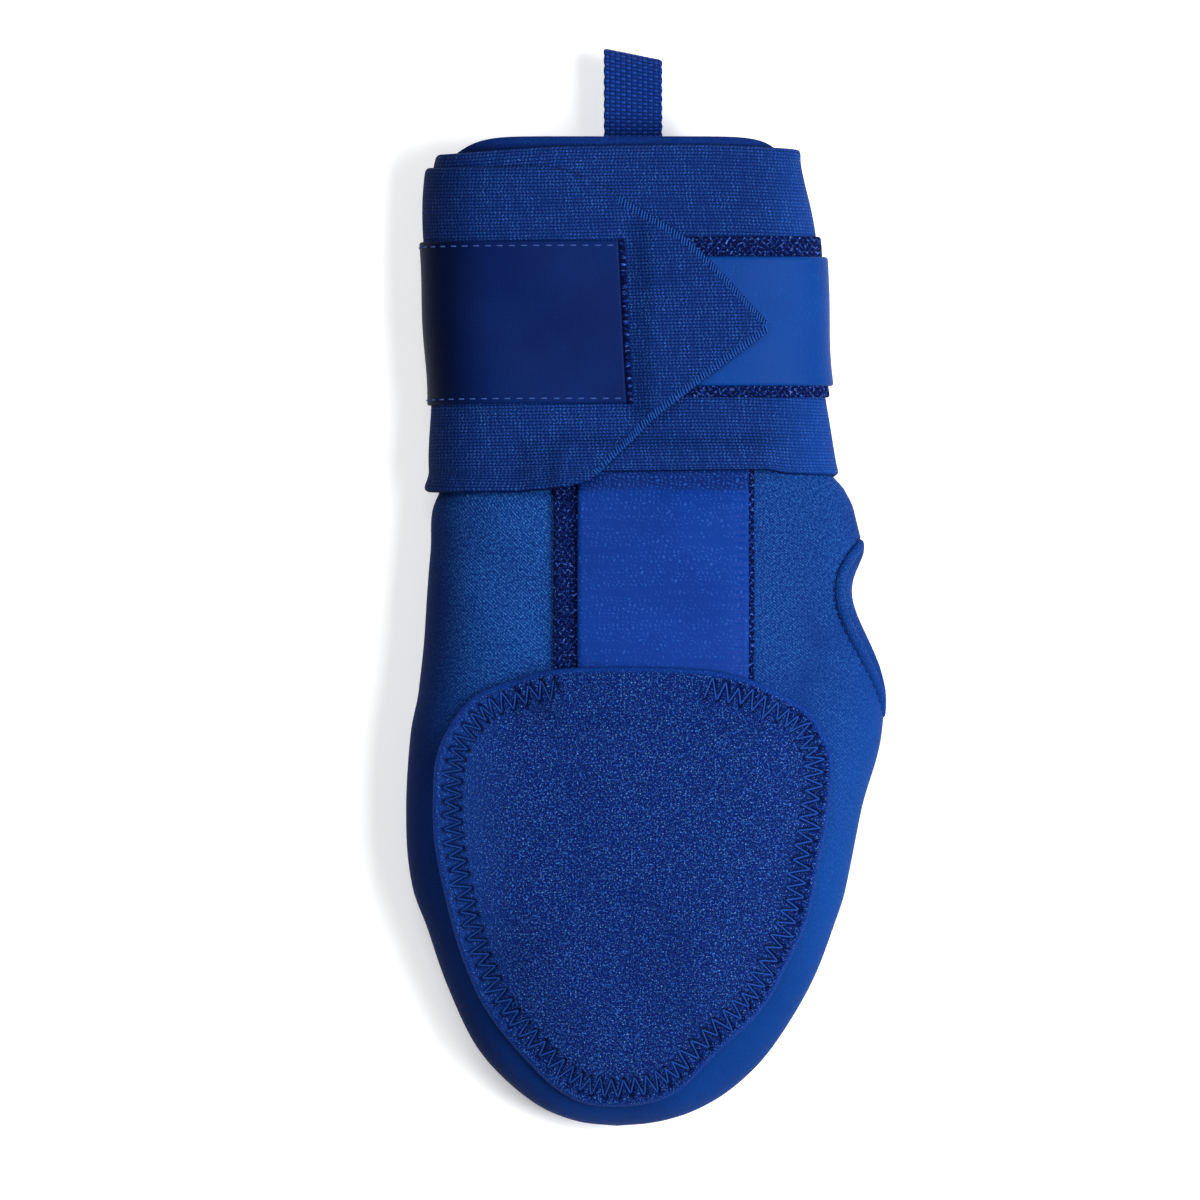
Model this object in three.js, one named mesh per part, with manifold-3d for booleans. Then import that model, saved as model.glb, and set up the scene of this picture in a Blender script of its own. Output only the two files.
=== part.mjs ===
// A padded sliding mitt for the right hand, lying palm down with its closure fastened.
// Millimetres. +Z points up from the palm, +Y to the wrist and +X to the thumb side.
// The origin lies on the palm's flat resting face, ORIGIN_FROM_TIP behind the fingertips.

import * as THREE from "three";
import { mergeVertices } from "three/addons/utils/BufferGeometryUtils.js";
import Module from "manifold-3d";

// Hand and cuff
const LENGTH = 290;
const HAND_WIDTH = 138;
const HAND_HEIGHT = 42;
const ORIGIN_FROM_TIP = 100;
const HAND_WALL = 5;
const CUFF_WALL = 3;
const TIP_WALL = 8;
const RIM_DIP = 9;
const RIM_SQUARENESS = 11;
const GAP = 0.3;

// Thumb opening, measured along its edge in the side wall
const THUMB_LENGTH = 54;
const THUMB_HEIGHT = 27;
const THUMB_FROM_TIP = 0.5034 * LENGTH;
const HEM_WIDTH = 3.6;
const HEM_PROUD = 0.7;

// Padded back of the fingers
const PAD_THICKNESS = 4.2;
const PAD_GAP = 0.5;

// Strap and its base along the back of the hand
const BASE_THICKNESS = 1.5;
const BASE_WIDTH = 58.4;
const BASE_CENTRE = 2.2;
const BASE_TOP = 0.669 * LENGTH;
const BASE_END = 0.438 * LENGTH;
const STRAP_THICKNESS = 2;
const STRAP_WIDTH = 49.5;
const STRAP_CENTRE = 4.85;
const STRAP_TOP = 0.665 * LENGTH;

// Elastic wrap round the cuff
const WRAP_WIDTH = 96;
const WRAP_THICKNESS = 2;
const WRAP_GAP = 0.5;
const WRAP_TIP_X = 33.4;
const WRAP_OVERLAP = 0.72;

// Closure on the wrap: loop tape under a smooth tab
const LOOP_THICKNESS = 1;
const LOOP_HEIGHT = 46.9;
const LOOP_FROM_TIP = 0.8172 * LENGTH;
const TAB_THICKNESS = 1.4;
const TAB_HEIGHT = 37.8;
const TAB_FROM_TIP = 0.8128 * LENGTH;
const CLOSURE_START_X = 5;
const CLOSURE_WRAP = 0.035;

// Patch on the wrap
const LABEL_THICKNESS = 0.9;
const LABEL_HEIGHT = 47.7;
const LABEL_FROM_TIP = 0.812 * LENGTH;
const LABEL_EDGE_X = -7;
const LABEL_WRAP = 0.03;

// Webbing loop at the cuff's mouth
const WEB_WIDTH = 17;
const WEB_THICKNESS = 1.4;
const WEB_X = -3.8;
const WEB_REACH = 25;
const WEB_SEWN = 24;
const WEB_SPREAD = 8.6;
const WEB_SKEW = 0.2;

// Roundness of the sections: two is an ellipse, more is squarer.
const BACK_ROUNDNESS = 2.35;
const PALM_ROUNDNESS = 3.4;

// Sections from the fingertips to the cuff. along is a share of LENGTH, half and centre are shares
// of HAND_WIDTH, low and top are shares of HAND_HEIGHT. What would lie below the palm's face is flat.
const SECTIONS = [
  { along: 0, half: 0, centre: -0.062, low: 0.26, top: 0.26 },
  { along: 0.002, half: 0.062, centre: -0.061, low: 0.195, top: 0.355 },
  { along: 0.0072, half: 0.108, centre: -0.058, low: 0.13, top: 0.43 },
  { along: 0.0172, half: 0.161, centre: -0.054, low: 0.066, top: 0.51 },
  { along: 0.0372, half: 0.227, centre: -0.048, low: 0.018, top: 0.605 },
  { along: 0.0779, half: 0.309, centre: -0.045, low: -0.01, top: 0.72 },
  { along: 0.1383, half: 0.383, centre: -0.037, low: -0.03, top: 0.82 },
  { along: 0.1986, half: 0.432, centre: -0.034, low: -0.03, top: 0.9 },
  { along: 0.2393, half: 0.461, centre: -0.036, low: -0.03, top: 0.935 },
  { along: 0.32, half: 0.484, centre: -0.026, low: -0.03, top: 0.985 },
  { along: 0.401, half: 0.499, centre: 0, low: -0.03, top: 1 },
  { along: 0.4414, half: 0.494, centre: 0.011, low: -0.03, top: 1 },
  { along: 0.5034, half: 0.479, centre: 0.008, low: -0.02, top: 0.975 },
  { along: 0.5448, half: 0.469, centre: 0.006, low: -0.01, top: 0.945 },
  { along: 0.5831, half: 0.459, centre: 0.002, low: 0.02, top: 0.9 },
  { along: 0.6234, half: 0.447, centre: -0.007, low: 0.07, top: 0.845 },
  { along: 0.6434, half: 0.428, centre: -0.007, low: 0.1165, top: 0.8 },
  { along: 0.6638, half: 0.406, centre: -0.017, low: 0.1165, top: 0.772 },
  { along: 0.7448, half: 0.396, centre: -0.032, low: 0.1165, top: 0.752 },
  { along: 0.8862, half: 0.393, centre: -0.047, low: 0.1165, top: 0.735 },
  { along: 0.969, half: 0.375, centre: -0.059, low: 0.1165, top: 0.725 },
  { along: 1, half: 0.366, centre: -0.05, low: 0.1165, top: 0.72 },
];

// Outline of the pad from the wrist end to the fingertips. along is a share of LENGTH, left and
// right are shares of HAND_WIDTH.
const PAD_ROWS = [
  { along: 0.4617, left: -0.193, right: 0.111 },
  { along: 0.4546, left: -0.257, right: 0.199 },
  { along: 0.4385, left: -0.349, right: 0.28 },
  { along: 0.4193, left: -0.39, right: 0.343 },
  { along: 0.3779, left: -0.435, right: 0.387 },
  { along: 0.3223, left: -0.445, right: 0.381 },
  { along: 0.2758, left: -0.438, right: 0.364 },
  { along: 0.2162, left: -0.411, right: 0.339 },
  { along: 0.1657, left: -0.378, right: 0.292 },
  { along: 0.1253, left: -0.339, right: 0.246 },
  { along: 0.0762, left: -0.26, right: 0.142 },
  { along: 0.0408, left: -0.183, right: 0.066 },
  { along: 0.0268, left: -0.12, right: -0.013 },
];

// Rise of the pad from its edge to its middle. share is the way out from the middle, thick a
// share of PAD_THICKNESS. The dip near the edge is the stitched channel.
const PAD_RISE = [
  { share: 1, thick: 0.3 },
  { share: 0.99, thick: 0.58 },
  { share: 0.955, thick: 0.68 },
  { share: 0.91, thick: 0.5 },
  { share: 0.85, thick: 0.8 },
  { share: 0.62, thick: 0.97 },
  { share: 0.3, thick: 1 },
];

// Route of the wrap's middle line. turn counts round the cuff from the thumb side over the back,
// centre is a share of LENGTH.
const WRAP_ROUTE = [
  { turn: 0.1, centre: 0.807 },
  { turn: 0.5, centre: 0.802 },
  { turn: 0.75, centre: 0.812 },
  { turn: 1, centre: 0.822 },
  { turn: 1.15, centre: 0.8255 },
  { turn: 1.3, centre: 0.8242 },
  { turn: 1.5, centre: 0.8155 },
  { turn: 1.8, centre: 0.81 },
];

// Pointed end of the wrap. behind is the way back from its point, above and below are the two
// sides' distances from the middle line, all as shares of WRAP_WIDTH.
const WRAP_POINT = [
  { behind: 0, above: 0.02, below: 0.02 },
  { behind: 0.25, above: 0.29, below: 0.197 },
  { behind: 0.396, above: 0.39, below: 0.307 },
  { behind: 0.5, above: 0.45, below: 0.402 },
  { behind: 0.573, above: 0.48, below: 0.475 },
  { behind: 0.646, above: 0.5, below: 0.5 },
];

// Columns across the wrap, from its hand edge to its mouth edge.
const WRAP_COLUMNS = [-1, -0.985, -0.83, -0.6, -0.42, 0, 0.42, 0.6, 0.985, 1];

// Side view of the webbing loop. out is a share of WEB_REACH beyond the rim, or of WEB_SEWN inside
// it where negative. rise is a share of WEB_SPREAD above the lower leg.
const WEB_PATH = [
  { out: -1, rise: 0 },
  { out: -0.5, rise: 0 },
  { out: 0, rise: 0.02 },
  { out: 0.4, rise: 0 },
  { out: 0.76, rise: 0.1 },
  { out: 0.93, rise: 0.36 },
  { out: 0.95, rise: 0.7 },
  { out: 0.76, rise: 1 },
  { out: 0.4, rise: 0.93 },
];

const clamp = (value, least, most) => Math.min(Math.max(value, least), most);
const mod = (value, whole) => ((value % whole) + whole) % whole;

function smooth(value, from, to) {
  const share = clamp((value - from) / (to - from), 0, 1);
  return share * share * (3 - 2 * share);
}

// One inside a stretch from..to, easing to zero over a margin outside it.
function within(value, from, to, flat, margin) {
  const outside = Math.max(from - value, value - to, 0) - flat;
  return 1 - smooth(outside, 0, margin);
}

// A curve through a table's column that never overshoots its rows.
function column(rows, place, name) {
  const x = rows.map(place);
  const y = rows.map((row) => row[name]);
  const steps = x.slice(1).map((value, i) => (y[i + 1] - y[i]) / (value - x[i]));
  const slopes = x.map((_, i) => {
    if (i === 0) return steps[0];
    if (i === x.length - 1) return steps[i - 1];
    if (steps[i - 1] * steps[i] <= 0) return 0;
    return (2 * steps[i - 1] * steps[i]) / (steps[i - 1] + steps[i]);
  });
  return (value) => {
    const at = clamp(value, x[0], x[x.length - 1]);
    let i = 0;
    while (i < x.length - 2 && at > x[i + 1]) i += 1;
    const width = x[i + 1] - x[i];
    const s = (at - x[i]) / width;
    const a = (1 + 2 * s) * (1 - s) * (1 - s) * y[i] + s * s * (3 - 2 * s) * y[i + 1];
    return a + width * s * (1 - s) * ((1 - s) * slopes[i] - s * slopes[i + 1]);
  };
}

// The root of the way along keeps the round fingertips even.
const bySection = Object.fromEntries(
  ["half", "centre", "low", "top"].map((name) => [
    name,
    column(SECTIONS, (row) => Math.sqrt(row.along), name),
  ]),
);
const wrapCentre = column(WRAP_ROUTE, (row) => row.turn, "centre");
const pointAbove = column(WRAP_POINT, (row) => row.behind, "above");
const pointBelow = column(WRAP_POINT, (row) => row.behind, "below");

function sectionAt(along, inset = 0) {
  const place = Math.sqrt(clamp(along / LENGTH, 0, 1));
  const low = bySection.low(place) * HAND_HEIGHT;
  const top = bySection.top(place) * HAND_HEIGHT;
  const middle = low + 0.46 * (top - low);
  return {
    half: Math.max(bySection.half(place) * HAND_WIDTH - inset, 0),
    centre: bySection.centre(place) * HAND_WIDTH,
    middle,
    up: Math.max(top - middle - inset, 0),
    down: Math.max(middle - low - inset, 0),
    floor: inset,
  };
}

// A section's outline as two runs of points with their lengths: over the back and under the palm.
const FINE = 120;
function runsOf(section) {
  return [
    [1, section.up, BACK_ROUNDNESS],
    [-1, section.down, PALM_ROUNDNESS],
  ].map(([side, height, roundness]) => {
    const points = [];
    const lengths = [0];
    for (let i = 0; i <= FINE; i += 1) {
      const angle = (Math.PI * i) / FINE;
      const across = side * Math.sign(Math.cos(angle)) * Math.abs(Math.cos(angle)) ** (2 / roundness);
      const rise = side * Math.abs(Math.sin(angle)) ** (2 / roundness);
      const x = section.centre + section.half * across;
      const z = Math.max(section.middle + height * rise, section.floor);
      points.push([x, z]);
      if (i) lengths.push(lengths[i - 1] + Math.hypot(x - points[i - 1][0], z - points[i - 1][1]));
    }
    return { points, lengths, total: lengths[FINE] };
  });
}

// turn 0 is the thumb side, 0.25 the back, 0.5 the other side and 0.75 the palm.
function around(section, turn) {
  const share = mod(turn, 1);
  const run = runsOf(section)[share < 0.5 ? 0 : 1];
  const wanted = run.total * mod(share * 2, 1);
  let i = 0;
  while (i < FINE - 1 && run.lengths[i + 1] < wanted) i += 1;
  const step = run.lengths[i + 1] - run.lengths[i] || 1;
  const s = clamp((wanted - run.lengths[i]) / step, 0, 1);
  return run.points[i].map((value, k) => value + s * (run.points[i + 1][k] - value));
}

const toPoint = ([x, z], along) => new THREE.Vector3(x, along - ORIGIN_FROM_TIP, z);

// A point off a surface by lift, along the normal that points away from the section's middle.
function lifted(surface, a, b, stepA, stepB, lift, along) {
  const p = surface(a, b);
  const u = surface(a + stepA, b).sub(surface(a - stepA, b));
  const v = surface(a, b + stepB).sub(surface(a, b - stepB));
  const normal = u.cross(v).normalize();
  const section = sectionAt(along);
  const outward = new THREE.Vector3(p.x - section.centre, 0, p.z - section.middle);
  if (normal.dot(outward) < 0) normal.negate();
  return { point: p.clone().addScaledVector(normal, lift), normal };
}

// A point round the hand at a turn.
function onTurn(turn, along, lift) {
  const surface = (a, b) => toPoint(around(sectionAt(b), a), b);
  return lifted(surface, turn, along, 0.008, 0.8, lift, along).point;
}

// A point on the back of the hand over a place x.
function onBack(x, along, lift) {
  const surface = (a, b) => {
    const section = sectionAt(b);
    const q = clamp(Math.abs((a - section.centre) / section.half), 0, 1);
    const z = section.middle + section.up * (1 - q ** BACK_ROUNDNESS) ** (1 / BACK_ROUNDNESS);
    return toPoint([a, z], b);
  };
  return lifted(surface, x, along, 0.3, 0.3, lift, along).point;
}

// A point on the thumb side at a height z.
function onSide(z, along, lift) {
  const surface = (a, b) => {
    const section = sectionAt(b);
    const isUp = a > section.middle;
    const roundness = isUp ? BACK_ROUNDNESS : PALM_ROUNDNESS;
    const q = clamp(Math.abs(a - section.middle) / (isUp ? section.up : section.down), 0, 1);
    return toPoint([section.centre + section.half * (1 - q ** roundness) ** (1 / roundness), a], b);
  };
  return lifted(surface, z, along, 0.3, 0.3, lift, along);
}

function turnOverX(x, along) {
  const [run] = runsOf(sectionAt(along));
  const i = run.points.findIndex((point) => point[0] <= x);
  const [before, after] = [run.points[i - 1][0], run.points[i][0]];
  const s = (before - x) / (before - after);
  return (run.lengths[i - 1] + s * (run.lengths[i] - run.lengths[i - 1])) / run.total / 2;
}

// Turns triangles over vertices into a geometry whose faces point out.
function solidGeometry(vertices, triangles) {
  let volume = 0;
  for (const [a, b, c] of triangles) {
    volume += vertices[a].dot(vertices[b].clone().cross(vertices[c]));
  }
  const facing = volume < 0 ? triangles.map(([a, b, c]) => [a, c, b]) : triangles;
  const geometry = new THREE.BufferGeometry();
  geometry.setAttribute(
    "position",
    new THREE.Float32BufferAttribute(vertices.flatMap((v) => [v.x, v.y, v.z]), 3),
  );
  geometry.setIndex(facing.flat());
  return geometry;
}

// Joins rings of equal length into triangles. A ring of one point closes an end.
function ringGeometry(rings, isLooped = false) {
  const starts = [];
  let count = 0;
  for (const ring of rings) {
    starts.push(count);
    count += ring.length;
  }
  const triangles = [];
  for (let r = 0; r < rings.length - (isLooped ? 0 : 1); r += 1) {
    const next = (r + 1) % rings.length;
    const [a, b] = [rings[r].length, rings[next].length];
    for (let i = 0; i < Math.max(a, b); i += 1) {
      const low = [starts[r] + (i % a), starts[r] + ((i + 1) % a)];
      const high = [starts[next] + (i % b), starts[next] + ((i + 1) % b)];
      if (a > 1) triangles.push([low[0], low[1], high[0]]);
      if (b > 1) triangles.push([high[0], low[1 % a === 0 ? 0 : 1], high[1]]);
    }
  }
  return solidGeometry(rings.flat(), triangles);
}

// A flexible sheet between an inner and an outer grid of points, closed along its four edges.
function sheetGeometry(rows, columns, place) {
  const vertices = [];
  for (const side of [0, 1]) {
    for (let i = 0; i < rows; i += 1) {
      for (let j = 0; j < columns; j += 1) vertices.push(place(i, j, side));
    }
  }
  const at = (i, j, side) => side * rows * columns + i * columns + j;
  const triangles = [];
  const quad = (a, b, c, d) => triangles.push([a, b, c], [a, c, d]);
  for (let i = 0; i < rows - 1; i += 1) {
    for (let j = 0; j < columns - 1; j += 1) {
      quad(at(i, j, 0), at(i + 1, j, 0), at(i + 1, j + 1, 0), at(i, j + 1, 0));
      quad(at(i, j, 1), at(i, j + 1, 1), at(i + 1, j + 1, 1), at(i + 1, j, 1));
    }
  }
  for (let i = 0; i < rows - 1; i += 1) {
    quad(at(i, 0, 0), at(i, 0, 1), at(i + 1, 0, 1), at(i + 1, 0, 0));
    quad(at(i, columns - 1, 0), at(i + 1, columns - 1, 0), at(i + 1, columns - 1, 1), at(i, columns - 1, 1));
  }
  for (let j = 0; j < columns - 1; j += 1) {
    quad(at(0, j, 0), at(0, j + 1, 0), at(0, j + 1, 1), at(0, j, 1));
    quad(at(rows - 1, j, 0), at(rows - 1, j, 1), at(rows - 1, j + 1, 1), at(rows - 1, j + 1, 0));
  }
  return solidGeometry(vertices, triangles);
}

// Even shares from zero to one with one more close to each end, for a softened edge.
function edgedShares(steps, margin) {
  const inner = Array.from({ length: steps - 1 }, (_, i) => (i + 1) / steps);
  return [0, margin, ...inner, 1 - margin, 1];
}

// Wall of the hand, thinner at the cuff.
const wallAt = (along) => HAND_WALL + (CUFF_WALL - HAND_WALL) * smooth(along / LENGTH, 0.6, 0.68);

// Every piece that goes round the hand is stepped alike, so neighbours keep their gap.
const AROUND = 40;
const turns = Array.from({ length: AROUND }, (_, i) => i / AROUND);

// Stations along the hand: the table's sections, with more between those far apart.
function stationsOver(longest) {
  const stations = [];
  for (let i = 1; i < SECTIONS.length; i += 1) {
    const [from, to] = [SECTIONS[i - 1].along * LENGTH, SECTIONS[i].along * LENGTH];
    const parts = Math.ceil((to - from) / longest);
    for (let k = 1; k <= parts; k += 1) stations.push(from + ((to - from) * k) / parts);
  }
  return stations.slice(0, -1);
}

// Steps between two turns, with one more close to each end for a softened edge.
function turnsBetween(start, end, margin) {
  const first = Math.ceil((start + margin) * AROUND + 0.01);
  const last = Math.floor((end - margin) * AROUND - 0.01);
  const inner = Array.from({ length: last - first + 1 }, (_, i) => (first + i) / AROUND);
  return [start, start + margin, ...inner, end - margin, end];
}

// The rim stands highest over the back and dips towards both sides.
function rimShift(along, turn) {
  const section = sectionAt(LENGTH);
  const across = (around(section, turn)[0] - section.centre) / section.half;
  return -RIM_DIP * Math.abs(across) ** RIM_SQUARENESS * smooth(along / LENGTH, 0.8, 1);
}

function shellGeometry() {
  const rings = [];
  const outer = (along) => turns.map((turn) => {
    const place = along + rimShift(along, turn);
    return toPoint(around(sectionAt(place), turn), place);
  });
  const inner = (along) => turns.map((turn) => {
    const grown = smooth(along / LENGTH, -0.02, 0.16);
    const inset = wallAt(along) * grown;
    const place = along + rimShift(along, turn);
    return toPoint(around(sectionAt(place, inset), turn), place + TIP_WALL * (1 - smooth(along / LENGTH, 0, 0.3)));
  });
  const tip = sectionAt(0);
  rings.push([toPoint([tip.centre, tip.middle], 0)]);
  rings.push(...stationsOver(LENGTH * 0.06).map(outer));
  // Rounded lip at the rim
  const lip = CUFF_WALL / 2;
  for (const angle of [0, 0.25, 0.5, 0.75, 1].map((share) => share * Math.PI)) {
    rings.push(
      turns.map((turn) => {
        const back = LENGTH - lip + rimShift(LENGTH, turn);
        const inset = lip * (1 - Math.cos(angle));
        return toPoint(around(sectionAt(back, inset), turn), back + lip * Math.sin(angle));
      }),
    );
  }
  rings.push(...stationsOver(LENGTH * 0.09).slice(1).reverse().map(inner));
  rings.push([toPoint([tip.centre, tip.middle], TIP_WALL)]);
  return ringGeometry(rings);
}

// The thumb opening's edge, fuller towards the wrist. angle 0 is the wrist end.
const THUMB_STEPS = 32;
function thumbEdge(angle, share, lift) {
  const along = THUMB_FROM_TIP + (THUMB_LENGTH / 2) * share * Math.cos(angle);
  const bulge = 1 + 0.3 * Math.cos(angle);
  const height = (THUMB_HEIGHT / 2) * share * Math.sin(angle) * bulge;
  return onSide(sectionAt(along).middle + height, along, lift);
}

const thumbAngles = Array.from({ length: THUMB_STEPS }, (_, i) => (2 * Math.PI * i) / THUMB_STEPS);

function thumbCutter() {
  const reach = HAND_WALL + 5;
  const middle = onSide(sectionAt(THUMB_FROM_TIP).middle, THUMB_FROM_TIP, 0);
  const centre = (lift) => [middle.point.clone().addScaledVector(middle.normal, lift)];
  const ring = (lift) => thumbAngles.map((angle) => {
    const edge = thumbEdge(angle, 1, 0);
    return edge.point.addScaledVector(edge.normal, lift);
  });
  const levels = [reach, HEM_PROUD, 0, -HAND_WALL / 2, -HAND_WALL, -reach];
  return ringGeometry([centre(reach), ...levels.map(ring), centre(-reach)]);
}

function bindingGeometry() {
  const corners = 8;
  const rings = thumbAngles.map((angle) => {
    const edge = thumbEdge(angle, 1, 0);
    const run = thumbEdge(angle + 0.05, 1, 0).point.sub(thumbEdge(angle - 0.05, 1, 0).point);
    const inward = edge.normal.clone().cross(run).normalize();
    const centre = edge.point.clone()
      .addScaledVector(inward, GAP + HEM_WIDTH / 2)
      .addScaledVector(edge.normal, -HAND_WALL / 2);
    return Array.from({ length: corners }, (_, k) => {
      const corner = (2 * Math.PI * (k + 0.5)) / corners;
      const c = Math.cos(corner) / Math.cos(Math.PI / corners);
      const s = Math.sin(corner) / Math.cos(Math.PI / corners);
      return centre.clone()
        .addScaledVector(inward, (HEM_WIDTH / 2) * c)
        .addScaledVector(edge.normal, (HAND_WALL / 2 + HEM_PROUD) * s);
    });
  });
  return ringGeometry(rings, true);
}

// What lies on the back of the hand under the pad's and the wrap's edges.
function strapStack(x, along, flat, margin) {
  const base = within(x - BASE_CENTRE, -BASE_WIDTH / 2, BASE_WIDTH / 2, flat, margin)
    * within(along, BASE_END, BASE_TOP, flat, margin);
  const strap = within(x - STRAP_CENTRE, -STRAP_WIDTH / 2, STRAP_WIDTH / 2, flat, margin)
    * within(along, BASE_END, STRAP_TOP, flat, margin);
  return (BASE_THICKNESS + GAP) * base + (STRAP_THICKNESS + GAP) * strap;
}

const PAD_STEPS = 47;
function padGeometry() {
  const along = (row) => row.along * LENGTH;
  const left = PAD_ROWS.map((row) => new THREE.Vector3(row.left * HAND_WIDTH, along(row), 0));
  const right = PAD_ROWS.map((row) => new THREE.Vector3(row.right * HAND_WIDTH, along(row), 0));
  const outline = new THREE.CatmullRomCurve3([...left, ...right.reverse()], true);
  const edge = outline.getSpacedPoints(PAD_STEPS).slice(0, -1);
  const middle = new THREE.Vector3(-0.03 * HAND_WIDTH, 0.26 * LENGTH, 0);
  const place = (from, share, rise) => {
    const spot = middle.clone().lerp(from, share);
    return onBack(spot.x, spot.y, PAD_GAP + strapStack(spot.x, spot.y, 4, 9) + rise);
  };
  const rings = [[place(middle, 0, PAD_THICKNESS)]];
  for (const row of [...PAD_RISE].reverse()) {
    rings.push(edge.map((spot) => place(spot, row.share, row.thick * PAD_THICKNESS)));
  }
  for (const share of [1, 0.95, 0.9, 0.82, 0.7, 0.52, 0.28]) {
    rings.push(edge.map((spot) => place(spot, share, 0)));
  }
  rings.push([place(middle, 0, 0)]);
  return ringGeometry(rings);
}

// A flat piece on the back of the hand, with softened edges.
function backPiece(centre, width, from, to, under, thickness) {
  const rows = edgedShares(9, 0.012);
  const columns = edgedShares(6, 0.015);
  return sheetGeometry(rows.length, columns.length, (i, j, side) => {
    const isEdge = i === 0 || j === 0 || i === rows.length - 1 || j === columns.length - 1;
    const rise = side ? thickness * (isEdge ? 0.6 : 1) : 0;
    const x = centre + width * (columns[j] - 0.5);
    return onBack(x, from + (to - from) * rows[i], under + rise);
  });
}

// The wrap's point lies over the closure, so the wrap rises there. It also rises over its own
// first turn and over the strap's base.
const WRAP_START = turnOverX(WRAP_TIP_X, WRAP_ROUTE[0].centre * LENGTH);

function closureStack(x, along) {
  const loop = within(x, CLOSURE_START_X, HAND_WIDTH, 3, 6)
    * within(along - LOOP_FROM_TIP, -LOOP_HEIGHT / 2, LOOP_HEIGHT / 2, 3, 8);
  const tab = within(x, CLOSURE_START_X, HAND_WIDTH, 3, 6)
    * within(along - TAB_FROM_TIP, -TAB_HEIGHT / 2, TAB_HEIGHT / 2, 7, 7);
  return (LOOP_THICKNESS + GAP) * loop + (TAB_THICKNESS + GAP) * tab;
}

function wrapLift(turn, along) {
  const isBack = mod(turn, 1) < 0.5;
  const x = around(sectionAt(along), turn)[0];
  const base = isBack ? strapStack(x, along, 3, 8) : 0;
  const second = 1 - smooth(turn, WRAP_OVERLAP + 0.02, WRAP_OVERLAP + 0.08);
  const closure = turn < 0.5 ? closureStack(x, along) : 0;
  return WRAP_GAP + base + (WRAP_THICKNESS + GAP) * second + closure;
}

function wrapGeometry() {
  const [back] = runsOf(sectionAt(WRAP_ROUTE[0].centre * LENGTH));
  const rows = turnsBetween(WRAP_START, 1 + WRAP_OVERLAP, 0.003);
  return sheetGeometry(rows.length, WRAP_COLUMNS.length, (i, j, side) => {
    const turn = rows[i];
    const behind = ((turn - WRAP_START) * 2 * back.total) / WRAP_WIDTH;
    const v = WRAP_COLUMNS[j];
    const reach = (v > 0 ? pointAbove(behind) : pointBelow(behind)) * WRAP_WIDTH;
    const along = wrapCentre(turn) * LENGTH + v * reach;
    const isEdge = Math.abs(v) === 1;
    const rise = side ? WRAP_THICKNESS * (isEdge ? 0.6 : 1) : 0;
    return onTurn(turn, along, wrapLift(turn, along) + rise);
  });
}

// A flat piece on the wrap between two turns.
function wrapPiece(start, end, middle, height, under, thickness) {
  const rows = turnsBetween(start, end, 0.003);
  const columns = edgedShares(4, 0.015);
  return sheetGeometry(rows.length, columns.length, (i, j, side) => {
    const isEdge = i === 0 || j === 0 || i === rows.length - 1 || j === columns.length - 1;
    const rise = side ? thickness * (isEdge ? 0.6 : 1) : 0;
    const along = middle + height * (columns[j] - 0.5);
    return onTurn(rows[i], along, under + rise);
  });
}

// The webbing runs along the palm wall inside the cuff, out of the mouth, round and back on itself.
function pullLoopGeometry() {
  const cuff = sectionAt(LENGTH);
  const lowLeg = cuff.middle - cuff.down + CUFF_WALL + GAP + WEB_THICKNESS / 2;
  const spot = ({ out, rise }) => {
    const along = LENGTH + out * (out < 0 ? WEB_SEWN : WEB_REACH);
    return new THREE.Vector3(0, along, lowLeg + rise * WEB_SPREAD);
  };
  const path = WEB_PATH.map(spot);
  for (const out of [0.05, -0.35, -0.6, -1]) {
    const isSewn = out < -0.3;
    const rise = isSewn ? (WEB_THICKNESS + GAP) / WEB_SPREAD : 0.66;
    path.push(spot({ out, rise }));
  }
  const curve = new THREE.CatmullRomCurve3(path, false, "centripetal");
  const steps = 28;
  const widths = [0, 0.04, 0.5, 0.96, 1];
  return sheetGeometry(steps + 1, widths.length, (i, j, side) => {
    const p = curve.getPointAt(i / steps);
    const tangent = curve.getTangentAt(i / steps);
    const normal = new THREE.Vector3(0, -tangent.z, tangent.y);
    const isEdge = j === 0 || j === widths.length - 1;
    const offset = (side ? 0.5 : -0.5) * WEB_THICKNESS * (isEdge ? 0.6 : 1);
    const across = (widths[j] - 0.5) * WEB_WIDTH;
    const skew = -WEB_SKEW * across * smooth(p.y, LENGTH, LENGTH + WEB_REACH);
    p.addScaledVector(normal, offset);
    return new THREE.Vector3(WEB_X + across, p.y + skew - ORIGIN_FROM_TIP, p.z);
  });
}

// Solids for cutting the thumb opening
const wasm = await Module();
wasm.setup();

function toManifold(geometry) {
  const bare = geometry.clone();
  bare.deleteAttribute("normal");
  bare.deleteAttribute("uv");
  const merged = mergeVertices(bare, 1e-4);
  return new wasm.Manifold(
    new wasm.Mesh({
      numProp: 3,
      vertProperties: new Float32Array(merged.attributes.position.array),
      triVerts: new Uint32Array(merged.index.array),
    }),
  );
}

function toGeometry(solid) {
  const mesh = solid.getMesh();
  const geometry = new THREE.BufferGeometry();
  geometry.setAttribute("position", new THREE.BufferAttribute(mesh.vertProperties, 3));
  geometry.setIndex(new THREE.BufferAttribute(mesh.triVerts, 1));
  return geometry;
}

const mitt = new THREE.Group();

function add(name, geometry, color, roughness) {
  geometry.computeVertexNormals();
  const material = new THREE.MeshStandardMaterial({ color, roughness, metalness: 0 });
  const mesh = new THREE.Mesh(geometry, material);
  mesh.name = name;
  mitt.add(mesh);
}

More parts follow.
